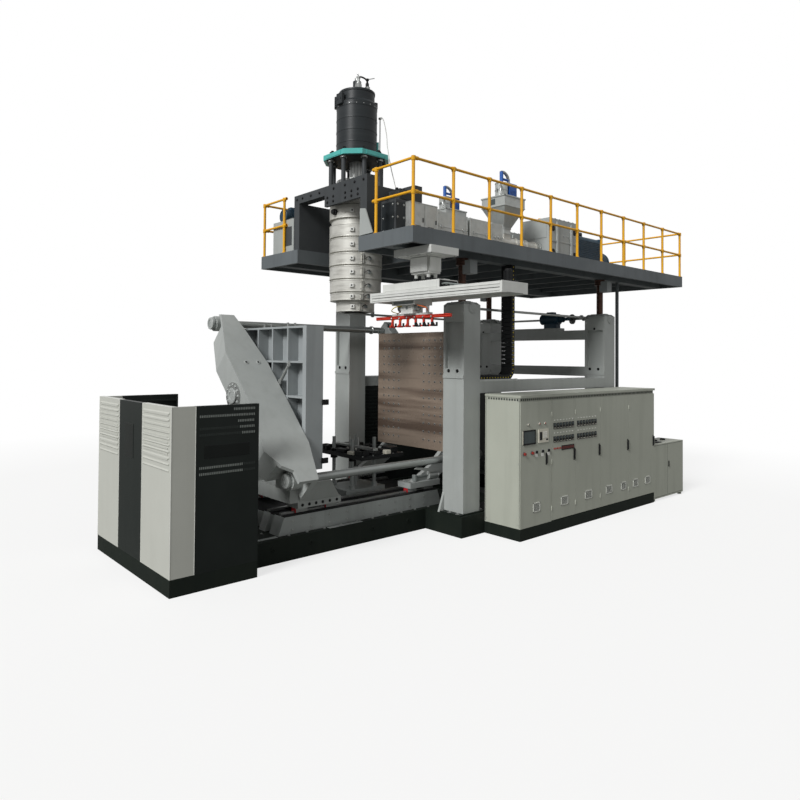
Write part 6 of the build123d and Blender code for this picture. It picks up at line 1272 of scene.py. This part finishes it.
addBoxes("endPanelSeams", "base", "slotShade", 0.001,
         [(1.3195, 1.3225, -2.468, -2.462, 0.205, 2.215), (1.3195, 1.3225, -1.800, -1.794, 0.205, 2.215)])
addPiece("endPanelScrews", [turned([(0, 0), (0.008, 0), (0.006, 0.003), (0, 0.003)],
                                   lattice([1.322], [-2.44, -1.82], [0.25, 1.20, 2.18]), minusX, 10)],
         "base", "machinedSteel")
addBoxes("auxSeams", "base", "slotShade", 0.0006,
         [onFace(0.0008, 6.272, 6.278, 0.075, 1.120, 0.001), onFace(0.0008, 5.712, 6.976, 1.112, 1.118, 0.001),
          onFace(0.0008, 5.712, 6.976, 0.078, 0.084, 0.001)])
addBoxes("auxHandle", "base", "nylonBlack", 0.004, [onFace(0.016, 6.318, 6.342, 0.645, 0.765)])
addPiece("auxTopFittings", [turned(cap(0.055, 0.024, 0.032, 0.015),
                                   [(x, -2.20, 1.139) for x in (5.92, 6.30, 6.66)], plusZ, 24),
                            boxes([(6.02, 6.20, -2.40, -2.30, 1.139, 1.158)], 0.004)], "base", "nylonBlack")
print("cabinets dressed")


# floor, world and lamps: a plain pale studio; the floor fades into the white behind it
studio = {"floorHalf": 60.0, "floorTone": "#F2F2F0", "bounceTone": "#8A8B88", "worldLight": 0.33,
          "mirrorLight": 0.55, "sunLight": 2.75, "sunAim": (0.80, 0.16, -0.58), "sunAngle": 0.35,
          "fadeFrom": 9.0, "fadeTo": 16.0, "nearGlow": 0.72}


def makeStudio(look):
    world = bpy.data.worlds.new("studioWorld")
    bpy.context.scene.world = world
    world.use_nodes = True
    tree = world.node_tree
    tree.nodes.clear()
    # strength = soft light, more where a mirror ray looks, and plain white to the camera
    path = addNode(tree, "ShaderNodeLightPath")
    mirror = addNode(tree, "ShaderNodeMath", {"operation": "MULTIPLY_ADD",
                     1: look["mirrorLight"] - look["worldLight"], 2: look["worldLight"]},
                     {0: (path, "Is Glossy Ray")})
    strength = addNode(tree, "ShaderNodeMath", {"operation": "MULTIPLY_ADD", 1: 1 - look["worldLight"]},
                       {0: (path, "Is Camera Ray"), 2: (mirror, 0)})
    sky = addNode(tree, "ShaderNodeBackground", {"Color": linear("#FFFFFF")}, {"Strength": (strength, 0)})
    addNode(tree, "ShaderNodeOutputWorld", None, {0: (sky, 0)})
    size = look["floorHalf"]
    mesh = bpy.data.meshes.new("studioFloor")
    mesh.from_pydata([(-size, -size, 0), (size, -size, 0), (size, size, 0), (-size, size, 0)], [],
                     [(0, 1, 2, 3)])
    floor = bpy.data.objects.new("studioFloor", mesh)
    bpy.context.scene.collection.objects.link(floor)
    paint = bpy.data.materials.new("paintedFloor")
    paint.use_nodes = True
    tree = paint.node_tree
    tree.nodes.clear()
    path = addNode(tree, "ShaderNodeLightPath")
    tone = addNode(tree, "ShaderNodeMix", {"data_type": "RGBA", 6: linear(look["bounceTone"]),
                   7: linear(look["floorTone"])}, {0: (path, "Is Camera Ray")})
    matt = addNode(tree, "ShaderNodeBsdfDiffuse", None, {"Color": (tone, 2)})
    glow = addNode(tree, "ShaderNodeEmission", {"Color": linear("#FFFFFF"), "Strength": 1.0})
    place = addNode(tree, "ShaderNodeTexCoord")
    away = addNode(tree, "ShaderNodeVectorMath", {"operation": "LENGTH"}, {0: (place, "Object")})
    near = addNode(tree, "ShaderNodeMapRange", {1: look["fadeFrom"], 2: look["fadeTo"],
                   3: look["nearGlow"], 4: 1.0}, {0: (away, "Value")})
    share = addNode(tree, "ShaderNodeMath", {"operation": "MULTIPLY"},
                    {0: (path, "Is Camera Ray"), 1: (near, 0)})
    mixed = addNode(tree, "ShaderNodeMixShader", None, {0: (share, 0), 1: (matt, 0), 2: (glow, 0)})
    addNode(tree, "ShaderNodeOutputMaterial", None, {0: (mixed, 0)})
    mesh.materials.append(paint)
    lamp = bpy.data.lights.new("softSun", "SUN")
    lamp.energy = look["sunLight"]
    lamp.angle = look["sunAngle"]
    sun = bpy.data.objects.new("softSun", lamp)
    axis, side, _ = axisFrame([-part for part in look["sunAim"]])
    turn = np.eye(4)
    turn[:3, 0], turn[:3, 1], turn[:3, 2] = side, np.cross(axis, side), axis
    sun.matrix_world = Matrix(turn.tolist())
    bpy.context.scene.collection.objects.link(sun)


makeStudio(studio)
bpy.context.scene.view_settings.view_transform = "Standard"
print("studio ready")
